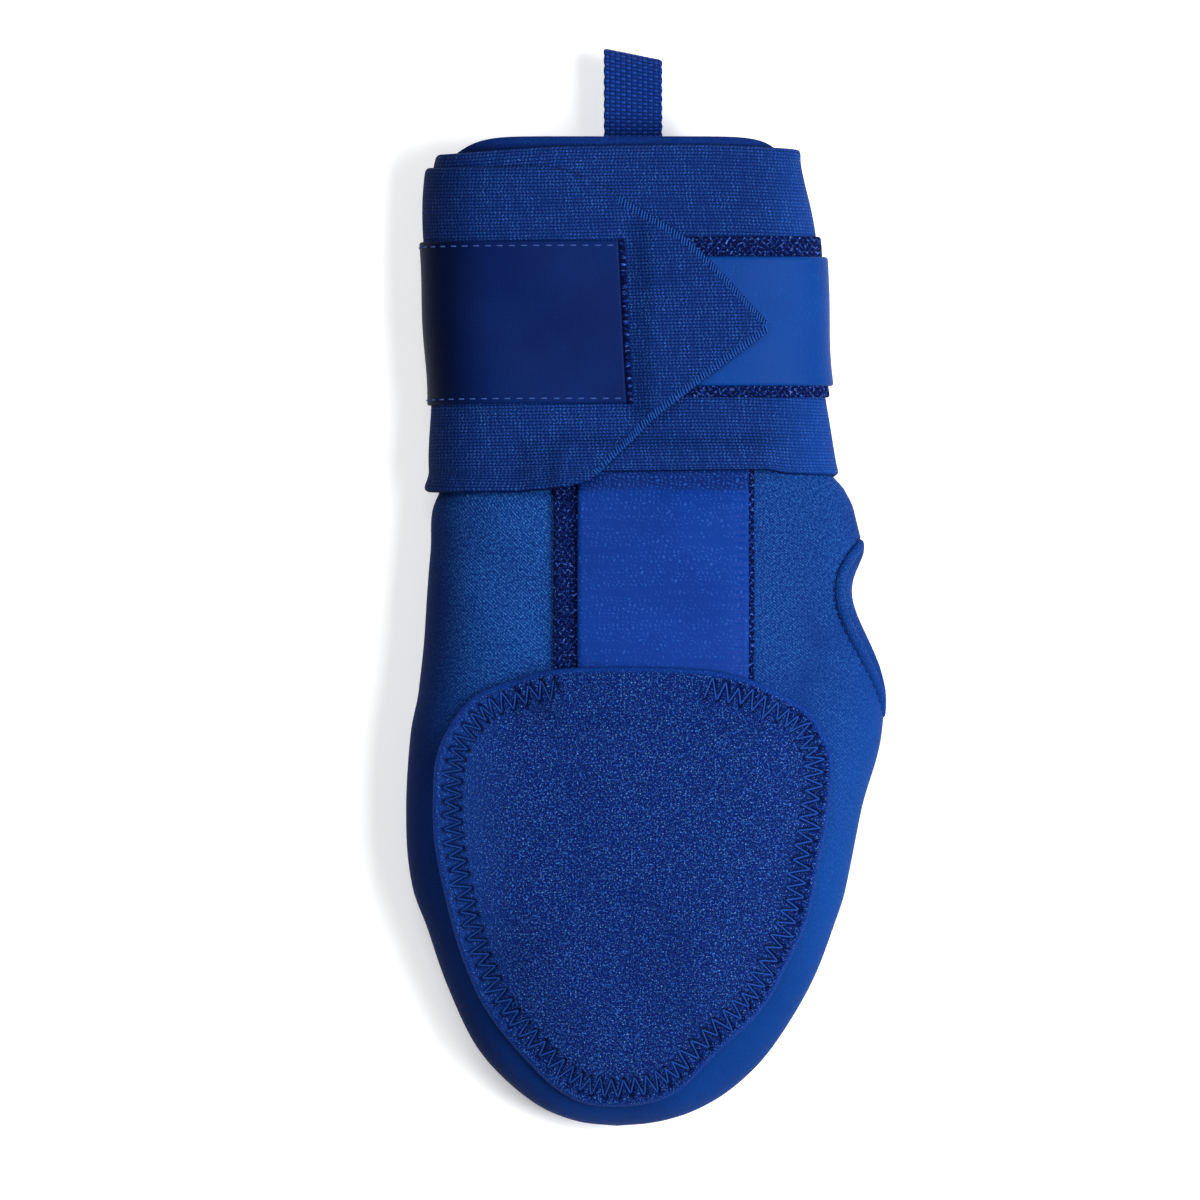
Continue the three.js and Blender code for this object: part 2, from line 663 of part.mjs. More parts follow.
const backUnder = GAP + BASE_THICKNESS + GAP;
const closureEnd = turnOverX(CLOSURE_START_X, LOOP_FROM_TIP);
const labelStart = turnOverX(LABEL_EDGE_X, LABEL_FROM_TIP);
const onFirstTurn = WRAP_GAP + WRAP_THICKNESS + GAP;
const onSecondTurn = onFirstTurn + WRAP_THICKNESS + GAP;

add(
  "hand_shell",
  toGeometry(toManifold(shellGeometry()).subtract(toManifold(thumbCutter()))),
  0x21529b,
  0.9,
);
add("thumb_binding", bindingGeometry(), 0x1c3f92, 0.85);
add("finger_pad", padGeometry(), 0x1b367c, 0.8);
add(
  "back_loop_base",
  backPiece(BASE_CENTRE, BASE_WIDTH, BASE_END, BASE_TOP, GAP, BASE_THICKNESS),
  0x14245f,
  0.95,
);
add(
  "back_strap",
  backPiece(STRAP_CENTRE, STRAP_WIDTH, BASE_END, STRAP_TOP, backUnder, STRAP_THICKNESS),
  0x1b439b,
  0.7,
);
add("wrist_wrap", wrapGeometry(), 0x172d6b, 0.85);
add(
  "closure_loop",
  wrapPiece(-CLOSURE_WRAP, closureEnd, LOOP_FROM_TIP, LOOP_HEIGHT, onFirstTurn, LOOP_THICKNESS),
  0x18285d,
  0.95,
);
add(
  "closure_tab",
  wrapPiece(
    -CLOSURE_WRAP,
    closureEnd,
    TAB_FROM_TIP,
    TAB_HEIGHT,
    onFirstTurn + LOOP_THICKNESS + GAP,
    TAB_THICKNESS,
  ),
  0x1c4da5,
  0.6,
);
add(
  "label_patch",
  wrapPiece(
    labelStart,
    0.5 + LABEL_WRAP,
    LABEL_FROM_TIP,
    LABEL_HEIGHT,
    onSecondTurn,
    LABEL_THICKNESS,
  ),
  0x112561,
  0.6,
);
add("pull_loop", pullLoopGeometry(), 0x1b357d, 0.85);

export default mitt;
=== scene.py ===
# A padded sliding mitt for the right hand, lying palm down on a pale floor.
# Metres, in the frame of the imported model. Lengths in the tables and patterns are millimetres.
import math

import bmesh
import bpy
import numpy as np
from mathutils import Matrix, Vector


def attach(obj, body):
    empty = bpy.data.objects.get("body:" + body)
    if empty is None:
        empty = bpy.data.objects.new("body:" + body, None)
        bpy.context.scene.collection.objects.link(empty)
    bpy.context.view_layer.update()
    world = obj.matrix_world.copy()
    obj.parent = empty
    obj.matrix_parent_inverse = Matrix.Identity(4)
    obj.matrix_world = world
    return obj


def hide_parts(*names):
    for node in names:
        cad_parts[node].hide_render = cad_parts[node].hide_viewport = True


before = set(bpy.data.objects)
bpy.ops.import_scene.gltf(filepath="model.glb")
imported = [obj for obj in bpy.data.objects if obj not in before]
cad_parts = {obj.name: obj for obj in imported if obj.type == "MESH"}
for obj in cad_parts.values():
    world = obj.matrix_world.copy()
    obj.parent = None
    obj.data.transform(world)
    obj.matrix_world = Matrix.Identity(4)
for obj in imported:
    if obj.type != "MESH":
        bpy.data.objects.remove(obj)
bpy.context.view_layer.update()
MM = 0.001

# sizes, as in the model
LENGTH, HAND_WIDTH, HAND_HEIGHT = 290.0, 138.0, 42.0
ORIGIN_FROM_TIP = 100.0
HAND_WALL, CUFF_WALL, TIP_WALL = 5.0, 3.0, 8.0
RIM_DIP, RIM_SQUARENESS = 9.0, 11
GAP = 0.3
THUMB_LENGTH, THUMB_HEIGHT, THUMB_FROM_TIP = 54.0, 27.0, 0.5034 * LENGTH
HEM_WIDTH, HEM_PROUD = 3.6, 0.7
PAD_THICKNESS, PAD_GAP = 4.2, 0.5
BASE_THICKNESS, BASE_WIDTH, BASE_CENTRE = 1.5, 58.4, 2.2
BASE_TOP, BASE_END = 0.669 * LENGTH, 0.438 * LENGTH
STRAP_THICKNESS, STRAP_WIDTH, STRAP_CENTRE, STRAP_TOP = 2.0, 49.5, 4.85, 0.665 * LENGTH
WRAP_WIDTH, WRAP_THICKNESS, WRAP_GAP, WRAP_TIP_X, WRAP_OVERLAP = 96.0, 2.0, 0.5, 33.4, 0.72
LOOP_THICKNESS, LOOP_HEIGHT, LOOP_FROM_TIP = 1.0, 46.9, 0.8172 * LENGTH
TAB_THICKNESS, TAB_HEIGHT, TAB_FROM_TIP = 1.4, 37.8, 0.8128 * LENGTH
CLOSURE_START_X, CLOSURE_WRAP = 5.0, 0.035
LABEL_THICKNESS, LABEL_HEIGHT, LABEL_FROM_TIP = 0.9, 47.7, 0.812 * LENGTH
LABEL_EDGE_X, LABEL_WRAP = -7.0, 0.03
WEB_WIDTH, WEB_THICKNESS, WEB_X = 17.0, 1.4, -3.8
WEB_REACH, WEB_SEWN, WEB_SPREAD, WEB_SKEW = 25.0, 24.0, 8.6, 0.2
BACK_ROUND, PALM_ROUND = 2.35, 3.4

# along (share of the length), half width and centre (shares of the width), low and top (shares
# of the height)
SECTIONS = np.array([
    (0, 0, -0.062, 0.26, 0.26),
    (0.002, 0.062, -0.061, 0.195, 0.355),
    (0.0072, 0.108, -0.058, 0.13, 0.43),
    (0.0172, 0.161, -0.054, 0.066, 0.51),
    (0.0372, 0.227, -0.048, 0.018, 0.605),
    (0.0779, 0.309, -0.045, -0.01, 0.72),
    (0.1383, 0.383, -0.037, -0.03, 0.82),
    (0.1986, 0.432, -0.034, -0.03, 0.9),
    (0.2393, 0.461, -0.036, -0.03, 0.935),
    (0.32, 0.484, -0.026, -0.03, 0.985),
    (0.401, 0.499, 0, -0.03, 1),
    (0.4414, 0.494, 0.011, -0.03, 1),
    (0.5034, 0.479, 0.008, -0.02, 0.975),
    (0.5448, 0.469, 0.006, -0.01, 0.945),
    (0.5831, 0.459, 0.002, 0.02, 0.9),
    (0.6234, 0.447, -0.007, 0.07, 0.845),
    (0.6434, 0.428, -0.007, 0.1165, 0.8),
    (0.6638, 0.406, -0.017, 0.1165, 0.772),
    (0.7448, 0.396, -0.032, 0.1165, 0.752),
    (0.8862, 0.393, -0.047, 0.1165, 0.735),
    (0.969, 0.375, -0.059, 0.1165, 0.725),
    (1, 0.366, -0.05, 0.1165, 0.72),
])
# along, left, right
PAD_ROWS = np.array([
    (0.4617, -0.193, 0.111),
    (0.4546, -0.257, 0.199),
    (0.4385, -0.349, 0.28),
    (0.4193, -0.39, 0.343),
    (0.3779, -0.435, 0.387),
    (0.3223, -0.445, 0.381),
    (0.2758, -0.438, 0.364),
    (0.2162, -0.411, 0.339),
    (0.1657, -0.378, 0.292),
    (0.1253, -0.339, 0.246),
    (0.0762, -0.26, 0.142),
    (0.0408, -0.183, 0.066),
    (0.0268, -0.12, -0.013),
])
# turn, centre (share of the length)
WRAP_ROUTE = np.array([
    (0.1, 0.807), (0.5, 0.802), (0.75, 0.812), (1, 0.822), (1.15, 0.8255), (1.3, 0.8242),
    (1.5, 0.8155), (1.8, 0.81),
])
# behind, above, below (shares of the wrap's width)
WRAP_POINT = np.array([
    (0, 0.02, 0.02), (0.25, 0.29, 0.197), (0.396, 0.39, 0.307), (0.5, 0.45, 0.402),
    (0.573, 0.48, 0.475), (0.646, 0.5, 0.5),
])
# out (share of the reach, or of the sewn length where negative), rise (share of the spread)
WEB_PATH = [
    (-1, 0), (-0.5, 0), (0, 0.02), (0.4, 0), (0.76, 0.1), (0.93, 0.36), (0.95, 0.7), (0.76, 1),
    (0.4, 0.93),
]


# curves and surfaces
def smooth(value, low, high):
    s = np.clip((value - low) / (high - low), 0, 1)
    return s * s * (3 - 2 * s)


def within(value, low, high, flat, margin):
    """1 from low to high and a flat stretch beyond, then down to 0 over a margin."""
    outside = np.maximum(np.maximum(low - value, value - high), 0) - flat
    return 1 - smooth(outside, 0, margin)


def unit(vectors):
    return vectors / np.linalg.norm(vectors, axis=-1, keepdims=True)


def run_along(points):
    """Length from the first point to each, in mm."""
    return np.concatenate([[0], np.linalg.norm(np.diff(points, axis=0), axis=1).cumsum()])


def column(x, y):
    """A curve through the points that never overshoots them."""
    x, y = np.asarray(x, float), np.asarray(y, float)
    steps = np.diff(y) / np.diff(x)
    slopes = np.empty_like(y)
    slopes[0], slopes[-1] = steps[0], steps[-1]
    a, b = steps[:-1], steps[1:]
    total = np.where(a + b == 0, 1, a + b)
    slopes[1:-1] = np.where(a * b <= 0, 0, 2 * a * b / total)

    def at(value):
        v = np.clip(value, x[0], x[-1])
        i = np.clip(np.searchsorted(x, v, side="right") - 1, 0, len(x) - 2)
        w = x[i + 1] - x[i]
        s = (v - x[i]) / w
        lead = (1 + 2 * s) * (1 - s) ** 2 * y[i] + s * s * (3 - 2 * s) * y[i + 1]
        return lead + w * s * (1 - s) * ((1 - s) * slopes[i] - s * slopes[i + 1])

    return at


def bend(p0, p1, p2, p3, count):
    """Points from p1 to just before p2, on a centripetal curve through all four."""
    t = [0]
    for a, b in ((p0, p1), (p1, p2), (p2, p3)):
        t.append(t[-1] + np.linalg.norm(b - a) ** 0.5)
    s = np.linspace(t[1], t[2], count, endpoint=False)[:, None]

    def blend(a, b, low, high):
        return (high - s) / (high - low) * a + (s - low) / (high - low) * b

    a1 = blend(p0, p1, t[0], t[1])
    a2 = blend(p1, p2, t[1], t[2])
    a3 = blend(p2, p3, t[2], t[3])
    return blend(blend(a1, a2, t[0], t[2]), blend(a2, a3, t[1], t[3]), t[1], t[2])


ROOTS = np.sqrt(SECTIONS[:, 0])
half_at, centre_at, low_at, top_at = (column(ROOTS, SECTIONS[:, k]) for k in range(1, 5))
route_at = column(WRAP_ROUTE[:, 0], WRAP_ROUTE[:, 1])
above_at = column(WRAP_POINT[:, 0], WRAP_POINT[:, 1])
below_at = column(WRAP_POINT[:, 0], WRAP_POINT[:, 2])
# The widest place of a section, as a share of its height.
WIDEST = 0.46


def section(along, inset=0.0):
    """Half width, centre, middle height, and reach up and down of a section, in mm."""
    place = np.sqrt(np.clip(np.asarray(along, float) / LENGTH, 0, 1))
    low, top = low_at(place) * HAND_HEIGHT, top_at(place) * HAND_HEIGHT
    middle = low + WIDEST * (top - low)
    return (
        np.maximum(half_at(place) * HAND_WIDTH - inset, 0),
        centre_at(place) * HAND_WIDTH,
        middle,
        np.maximum(top - middle - inset, 0),
        np.maximum(middle - low - inset, 0),
    )


def rings(along, turns, inset=0.0):
    """Points of the sections at each along (rows) and turn (columns), in mm: x and z."""
    along = np.atleast_1d(np.asarray(along, float))
    inset = np.broadcast_to(inset, along.shape)
    half, centre, middle, up, down = section(along, inset)
    half_steps = 240
    angle = np.pi * np.arange(half_steps + 1) / half_steps
    c, s = np.cos(angle), np.sin(angle)
    x_out = np.empty((len(along), len(turns)))
    z_out = np.empty_like(x_out)
    shares = np.mod(turns, 1)
    for side, height, roundness, chosen in (
        (1, up, BACK_ROUND, shares < 0.5),
        (-1, down, PALM_ROUND, shares >= 0.5),
    ):
        across = side * np.sign(c) * np.abs(c) ** (2 / roundness)
        rise = side * np.abs(s) ** (2 / roundness)
        x = centre[:, None] + half[:, None] * across
        z = np.maximum(middle[:, None] + height[:, None] * rise, inset[:, None])
        run = np.hypot(np.diff(x, axis=1), np.diff(z, axis=1)).cumsum(axis=1)
        run = np.hstack([np.zeros((len(along), 1)), run])
        wanted = np.mod(shares[chosen] * 2, 1)
        for r in range(len(along)):
            at = wanted * run[r, -1]
            x_out[r, chosen] = np.interp(at, run[r], x[r])
            z_out[r, chosen] = np.interp(at, run[r], z[r])
    return x_out, z_out


# Fine tables of the outer surface and its normals are read at any turn and any place along.
ROWS, TURNS = 700, 800


def surface_tables():
    row_along = LENGTH * (np.arange(ROWS + 1) / ROWS) ** 2
    x, z = rings(row_along, np.arange(TURNS) / TURNS)
    y = np.repeat(row_along[:, None] - ORIGIN_FROM_TIP, TURNS, axis=1)
    points = np.stack([x, y, z], axis=2)
    reach = 3
    round_it = np.roll(points, -reach, axis=1) - np.roll(points, reach, axis=1)
    normals = np.cross(round_it, np.gradient(points, axis=0))
    normals[0] = (0, -1, 0)
    _, centre, middle, _, _ = section(row_along)
    axis = np.stack([
        np.repeat(centre[:, None], TURNS, axis=1), y, np.repeat(middle[:, None], TURNS, axis=1)
    ], axis=2)
    flip = np.sign((normals * (points - axis)).sum(axis=2))
    flip[0] = 1
    normals *= np.where(flip == 0, 1, flip)[:, :, None]
    normals /= np.maximum(np.linalg.norm(normals, axis=2, keepdims=True), 1e-9)
    return points, normals


BASE, NORMAL = surface_tables()


def look_up(table, turn, along):
    r = np.sqrt(np.clip(along / LENGTH, 0, 1)) * ROWS
    r0 = np.clip(np.floor(r).astype(int), 0, ROWS - 1)
    fr = (r - r0)[..., None]
    t = np.mod(turn, 1) * TURNS
    t0 = np.floor(t).astype(int) % TURNS
    ft = (t - np.floor(t))[..., None]
    t1 = (t0 + 1) % TURNS
    low = table[r0, t0] * (1 - ft) + table[r0, t1] * ft
    high = table[r0 + 1, t0] * (1 - ft) + table[r0 + 1, t1] * ft
    return low * (1 - fr) + high * fr


def dent(p):
    """Slow rises and dips that all layers share, none of them near the floor."""
    x, y, z = p[..., 0], p[..., 1], p[..., 2]
    waves = (
        0.35 * np.sin(x / 9.0 + 1.3 * np.sin(y / 31.0))
        + 0.3 * np.sin(y / 13.0 + 0.8 * np.sin(x / 17.0) + 1.0)
        + 0.22 * np.sin((x + y) / 6.5 + 2.0)
        + 0.18 * np.sin((x - 1.4 * y) / 8.0 + 0.7)
    )
    calm = 0.45 + 0.55 * smooth(y, 70, 95)
    return waves * calm * smooth(z, 6, 16)


def on_turn(turn, along, lift):
    """A point above the surface at a turn round it and a place along it."""
    turn, along = np.broadcast_arrays(np.asarray(turn, float), np.asarray(along, float))
    p = look_up(BASE, turn, along)
    n = unit(look_up(NORMAL, turn, along))
    return p + n * (np.asarray(lift) + dent(p))[..., None]


def gradients(height, a, b, step):
    """Slopes of a height over a and over b."""
    da = (height(a + step, b) - height(a - step, b)) / (2 * step)
    db = (height(a, b + step) - height(a, b - step)) / (2 * step)
    return da, db


def back_height(x, along):
    half, centre, middle, up, _ = section(along)
    q = np.clip(np.abs((x - centre) / half), 0, 1)
    return middle + up * (1 - q ** BACK_ROUND) ** (1 / BACK_ROUND)


def on_back(x, along, lift):
    """A point above the back of the hand."""
    x, along = np.broadcast_arrays(np.asarray(x, float), np.asarray(along, float))
    dx, dy = gradients(back_height, x, along, 0.25)
    n = unit(np.stack([-dx, -dy, np.ones_like(dx)], axis=-1))
    p = np.stack([x, along - ORIGIN_FROM_TIP, back_height(x, along)], axis=-1)
    return p + n * (np.asarray(lift) + dent(p))[..., None]


def side_x(z, along):
    half, centre, middle, up, down = section(along)
    is_up = z > middle
    roundness = np.where(is_up, BACK_ROUND, PALM_ROUND)
    q = np.clip(np.abs(z - middle) / np.where(is_up, up, down), 0, 1)
    return centre + half * (1 - q ** roundness) ** (1 / roundness)


def on_side(z, along):
    """A point of the thumb's side, and the normal there."""
    z, along = np.broadcast_arrays(np.asarray(z, float), np.asarray(along, float))
    x = side_x(z, along)
    dz, dy = gradients(side_x, z, along, 0.3)
    n = unit(np.stack([np.ones_like(x), -dy, -dz], axis=-1))
    return np.stack([x, along - ORIGIN_FROM_TIP, z], axis=-1), n


def turn_over_x(x, along):
    """The turn on the back of the hand that lies over x."""
    turns = np.linspace(0, 0.4999, 900)
    xs = look_up(BASE, turns, np.full_like(turns, along))[:, 0]
    return float(np.interp(-x, -xs, turns))


def over_back(x, along, centre, width, top, flat, margin):
    """1 over a sheet on the back of the hand, falling to 0 beside it."""
    across = within(x - centre, -width / 2, width / 2, flat, margin)
    return across * within(along, BASE_END, top, flat, margin)


def strap_stack(x, along, flat, margin):
    base = over_back(x, along, BASE_CENTRE, BASE_WIDTH, BASE_TOP, flat, margin)
    strap = over_back(x, along, STRAP_CENTRE, STRAP_WIDTH, STRAP_TOP, flat, margin)
    return (BASE_THICKNESS + GAP) * base + (STRAP_THICKNESS + GAP) * strap


def closure_stack(x, along):
    side = within(x, CLOSURE_START_X, HAND_WIDTH, 2, 9)
    loop = side * within(along - LOOP_FROM_TIP, -LOOP_HEIGHT / 2, LOOP_HEIGHT / 2, 3, 8)
    tab = side * within(along - TAB_FROM_TIP, -TAB_HEIGHT / 2, TAB_HEIGHT / 2, 7, 7)
    return (LOOP_THICKNESS + GAP) * loop + (TAB_THICKNESS + GAP) * tab


def wrap_lift(turn, along):
    """Height of the wrap's inner face over the hand."""
    x = look_up(BASE, turn, along)[..., 0]
    base = np.where(np.mod(turn, 1) < 0.5, strap_stack(x, along, 3, 8), 0)
    second = 1 - smooth(turn, WRAP_OVERLAP + 0.02, WRAP_OVERLAP + 0.08)
    closure = np.where(turn < 0.5, closure_stack(x, along), 0)
    return WRAP_GAP + base + (WRAP_THICKNESS + GAP) * second + closure


def pad_lift(spot):
    """Height of the pad's lower face over the back of the hand."""
    return PAD_GAP + strap_stack(spot[:, 0], spot[:, 1], 4, 9)


ON_FIRST = WRAP_GAP + WRAP_THICKNESS + GAP
ON_SECOND = ON_FIRST + WRAP_THICKNESS + GAP


# mesh building
def corner_vertices(mesh):
    index = np.empty(len(mesh.loops), dtype=np.int32)
    mesh.loops.foreach_get("vertex_index", index)
    return index


def add_layer(mesh, name, pairs):
    """A UV layer with a pair for each corner."""
    layer = mesh.uv_layers.new(name=name)
    layer.data.foreach_set("uv", np.asarray(pairs, float).astype(np.float32).ravel())


def make_object(name, points, faces, uvs, material, by_corner=False):
    """points in mm. uvs holds one pair in mm a vertex, or a corner."""
    mesh = bpy.data.meshes.new(name)
    mesh.from_pydata((np.asarray(points) * MM).tolist(), [], faces)
    mesh.update()
    add_layer(mesh, "mm", uvs if by_corner else np.asarray(uvs, float)[corner_vertices(mesh)])
    mesh.polygons.foreach_set("use_smooth", np.ones(len(mesh.polygons), dtype=bool))
    obj = bpy.data.objects.new(name, mesh)
    bpy.context.scene.collection.objects.link(obj)
    mesh.materials.append(material)
    bm = bmesh.new()
    bm.from_mesh(mesh)
    if bm.calc_volume(signed=True) < 0:
        bmesh.ops.reverse_faces(bm, faces=bm.faces)
    bm.to_mesh(mesh)
    bm.free()
    return obj


def grid_faces(rows, columns, start=0, close=False, ring=False):
    """Faces between rows of points, closed round each row, and from the last row to the first."""
    out = []
    for i in range(rows if ring else rows - 1):
        low, high = start + i * columns, start + (i + 1) % rows * columns
        for j in range(columns if close else columns - 1):
            k = (j + 1) % columns
            out.append((low + j, high + j, high + k, low + k))
    return out


def turned(faces):
    return [tuple(reversed(face)) for face in faces]


def sheet_solid(name, outer, inner, uv, material):
    """A closed sheet between two grids of points of the same shape."""
    rows, columns = outer.shape[:2]
    count = rows * columns
    faces = grid_faces(rows, columns) + turned(grid_faces(rows, columns, count))
    border = [(i, 0) for i in range(rows)]
    border += [(rows - 1, j) for j in range(1, columns)]
    border += [(i, columns - 1) for i in range(rows - 2, -1, -1)]
    border += [(0, j) for j in range(columns - 2, 0, -1)]
    for (a, b), (c, d) in zip(border, border[1:] + border[:1]):
        p, q = a * columns + b, c * columns + d
        faces.append((q, p, p + count, q + count))
    points = np.concatenate([outer.reshape(-1, 3), inner.reshape(-1, 3)])
    uvs = np.concatenate([uv.reshape(-1, 2)] * 2)
    return make_object(name, points, faces, uvs, material)


# An edge is rounded over this share of the thickness, and drops by a part of that.
EDGE_ROUND, EDGE_DROP = 0.75, 0.7
# The rows beside an edge stand in this share of the thickness.
EDGE_ROWS = 0.8


def edge_profile(thickness, distance):
    """Height over the inner face at a distance from the edge, rounded off at the edge."""
    s = np.clip(distance / (thickness * EDGE_ROUND), 0, 1)
    drop = EDGE_ROUND * EDGE_DROP
    return thickness * (1 - drop + drop * np.sqrt(1 - (1 - s) ** 2))


def spaced(length, step, radius):
    """Places from 0 to length, close together at both ends."""
    near = radius * np.array([0, 0.08, 0.25, 0.5, 0.78])
    count = max(int(round((length - 2 * radius) / step)), 1)
    inner = np.linspace(radius, length - radius, count + 1)
    return np.concatenate([near, inner, (length - near)[::-1]])


def lay_sheet(name, width, height, thickness, material, step, place, wave=None):
    """A sheet with rounded edges, laid by place(u, v, rise). wave adds to its rise."""
    u = spaced(width, step, thickness * EDGE_ROWS)
    v = spaced(height, step, thickness * EDGE_ROWS)
    uu, vv = np.meshgrid(u, v)
    edge = np.minimum(np.minimum(uu, width - uu), np.minimum(vv, height - vv))
    rise = edge_profile(thickness, edge)
    if wave is not None:
        rise = rise + wave(uu, vv, edge)
    uv = np.stack([uu, vv], axis=2)
    return sheet_solid(name, place(uu, vv, rise), place(uu, vv, 0 * rise), uv, material)


def tube(points, radius, sides):
    """Vertices and faces of a thread along points, in mm."""
    tangent = np.gradient(points, axis=0)
    tangent /= np.maximum(np.linalg.norm(tangent, axis=1, keepdims=True), 1e-9)
    up = np.tile(np.array([0.0, 0.0, 1.0]), (len(points), 1))
    up[np.abs(tangent[:, 2]) > 0.9] = (1, 0, 0)
    a = unit(np.cross(tangent, up))
    b = np.cross(a, tangent)
    angle = 2 * np.pi * np.arange(sides) / sides
    ring = a[:, None] * np.cos(angle)[None, :, None] + b[:, None] * np.sin(angle)[None, :, None]
    verts = (points[:, None] + ring * radius).reshape(-1, 3)
    last = (len(points) - 1) * sides
    ends = [tuple(range(sides)), tuple(last + j for j in reversed(range(sides)))]
    return verts, grid_faces(len(points), sides, close=True) + ends


def threads(name, paths, material, radius, sides=6):
    """Many threads as one object. Their UVs run along each thread, in mm."""
    verts, faces, uvs, start = [], [], [], 0
    for path in paths:
        v, f = tube(path, radius, sides)
        round_it = np.tile(np.arange(sides) / sides, len(path))
        uvs.append(np.stack([np.repeat(run_along(path), sides), round_it], axis=1))
        faces += [tuple(start + k for k in face) for face in f]
        verts.append(v)
        start += len(v)
    return make_object(name, np.concatenate(verts), faces, np.concatenate(uvs), material)


# materials
def srgb(r, g, b):
    def one(c):
        c /= 255
        return c / 12.92 if c <= 0.04045 else ((c + 0.055) / 1.055) ** 2.4

    return (one(r), one(g), one(b), 1)


class Looks:
    """Builds one material's nodes."""

    def __init__(self, name, roughness, specular=0.035):
        self.material = bpy.data.materials.new(name)
        self.material.use_nodes = True
        self.nodes = self.material.node_tree.nodes
        self.shader = self.nodes["Principled BSDF"]
        for socket, value in (
            ("Roughness", roughness),
            ("Sheen Weight", 0.01),
            ("Sheen Roughness", 0.45),
            ("Sheen Tint", (0.1, 0.35, 1, 1)),
            ("Specular IOR Level", specular),
        ):
            self.shader.inputs[socket].default_value = value
        self.uv, self.u, self.v = self.layer("mm")
        self.place = self.nodes.new("ShaderNodeTexCoord").outputs["Object"]
        self.x, self.y = self.split(self.place)

    def link(self, a, b):
        self.material.node_tree.links.new(a, b)

    def split(self, vector):
        """The first two parts of a vector."""
        node = self.nodes.new("ShaderNodeSeparateXYZ")
        self.link(vector, node.inputs[0])
        return node.outputs["X"], node.outputs["Y"]

    def layer(self, name):
        """A UV layer and its two parts."""
        node = self.nodes.new("ShaderNodeUVMap")
        node.uv_map = name
        return (node.outputs["UV"], *self.split(node.outputs["UV"]))

    def fill(self, sockets, values):
        for value, socket in zip(values, sockets):
            if isinstance(value, (int, float, tuple)):
                socket.default_value = value
            else:
                self.link(value, socket)

    def math(self, kind, *values):
        node = self.nodes.new("ShaderNodeMath")
        node.operation = kind
        self.fill(node.inputs, values)
        return node.outputs[0]

    def times(self, a, b):
        return self.math("MULTIPLY", a, b)

    def grow(self, value, scale, start):
        """value * scale + start"""
        return self.math("MULTIPLY_ADD", value, scale, start)

    def wave(self, value, period):
        """A sine of period mm, from -1 to 1."""
        return self.math("SINE", self.grow(value, 2 * math.pi / period, 0.0))

    def hump(self, value, period):
        """A row of humps of period mm, from 0 to 1."""
        return self.math("ABSOLUTE", self.math("SINE", self.times(value, math.pi / period)))

    def noise(self, scale, detail=2.0, stretch=None, roughness=0.5, uv=False):
        node = self.nodes.new("ShaderNodeTexNoise")
        node.inputs["Scale"].default_value = scale
        node.inputs["Detail"].default_value = detail
        node.inputs["Roughness"].default_value = roughness
        source = self.uv if uv else self.place
        if stretch:
            mapping = self.nodes.new("ShaderNodeMapping")
            mapping.inputs["Scale"].default_value = stretch
            self.link(source, mapping.inputs["Vector"])
            source = mapping.outputs[0]
        self.link(source, node.inputs["Vector"])
        return node.outputs["Fac"]

    def ramp(self, value, low, high):
        """0 at low, 1 at high and smooth between them."""
        node = self.nodes.new("ShaderNodeMapRange")
        node.interpolation_type = "SMOOTHSTEP"
        self.fill(node.inputs, (value, low, high))
        return node.outputs["Result"]

    def mix(self, share, a, b):
        node = self.nodes.new("ShaderNodeMix")
        node.data_type = "RGBA"
        self.fill((node.inputs[0], node.inputs[6], node.inputs[7]), (share, a, b))
        return node.outputs[2]

    def tint(self, color, share, strength, other):
        """A colour with another laid over it, by a share times a strength."""
        return self.mix(self.times(share, strength), color, other)

    def bump(self, height, distance, strength=1.0):
        node = self.nodes.new("ShaderNodeBump")
        node.inputs["Strength"].default_value = strength
        node.inputs["Distance"].default_value = distance
        self.link(height, node.inputs["Height"])
        return node.outputs["Normal"]

    def finish(self, color, normal=None, roughness=None):
        for socket, value in (("Base Color", color), ("Normal", normal), ("Roughness", roughness)):
            if value is not None:
                self.link(value, self.shader.inputs[socket])
        return self.material


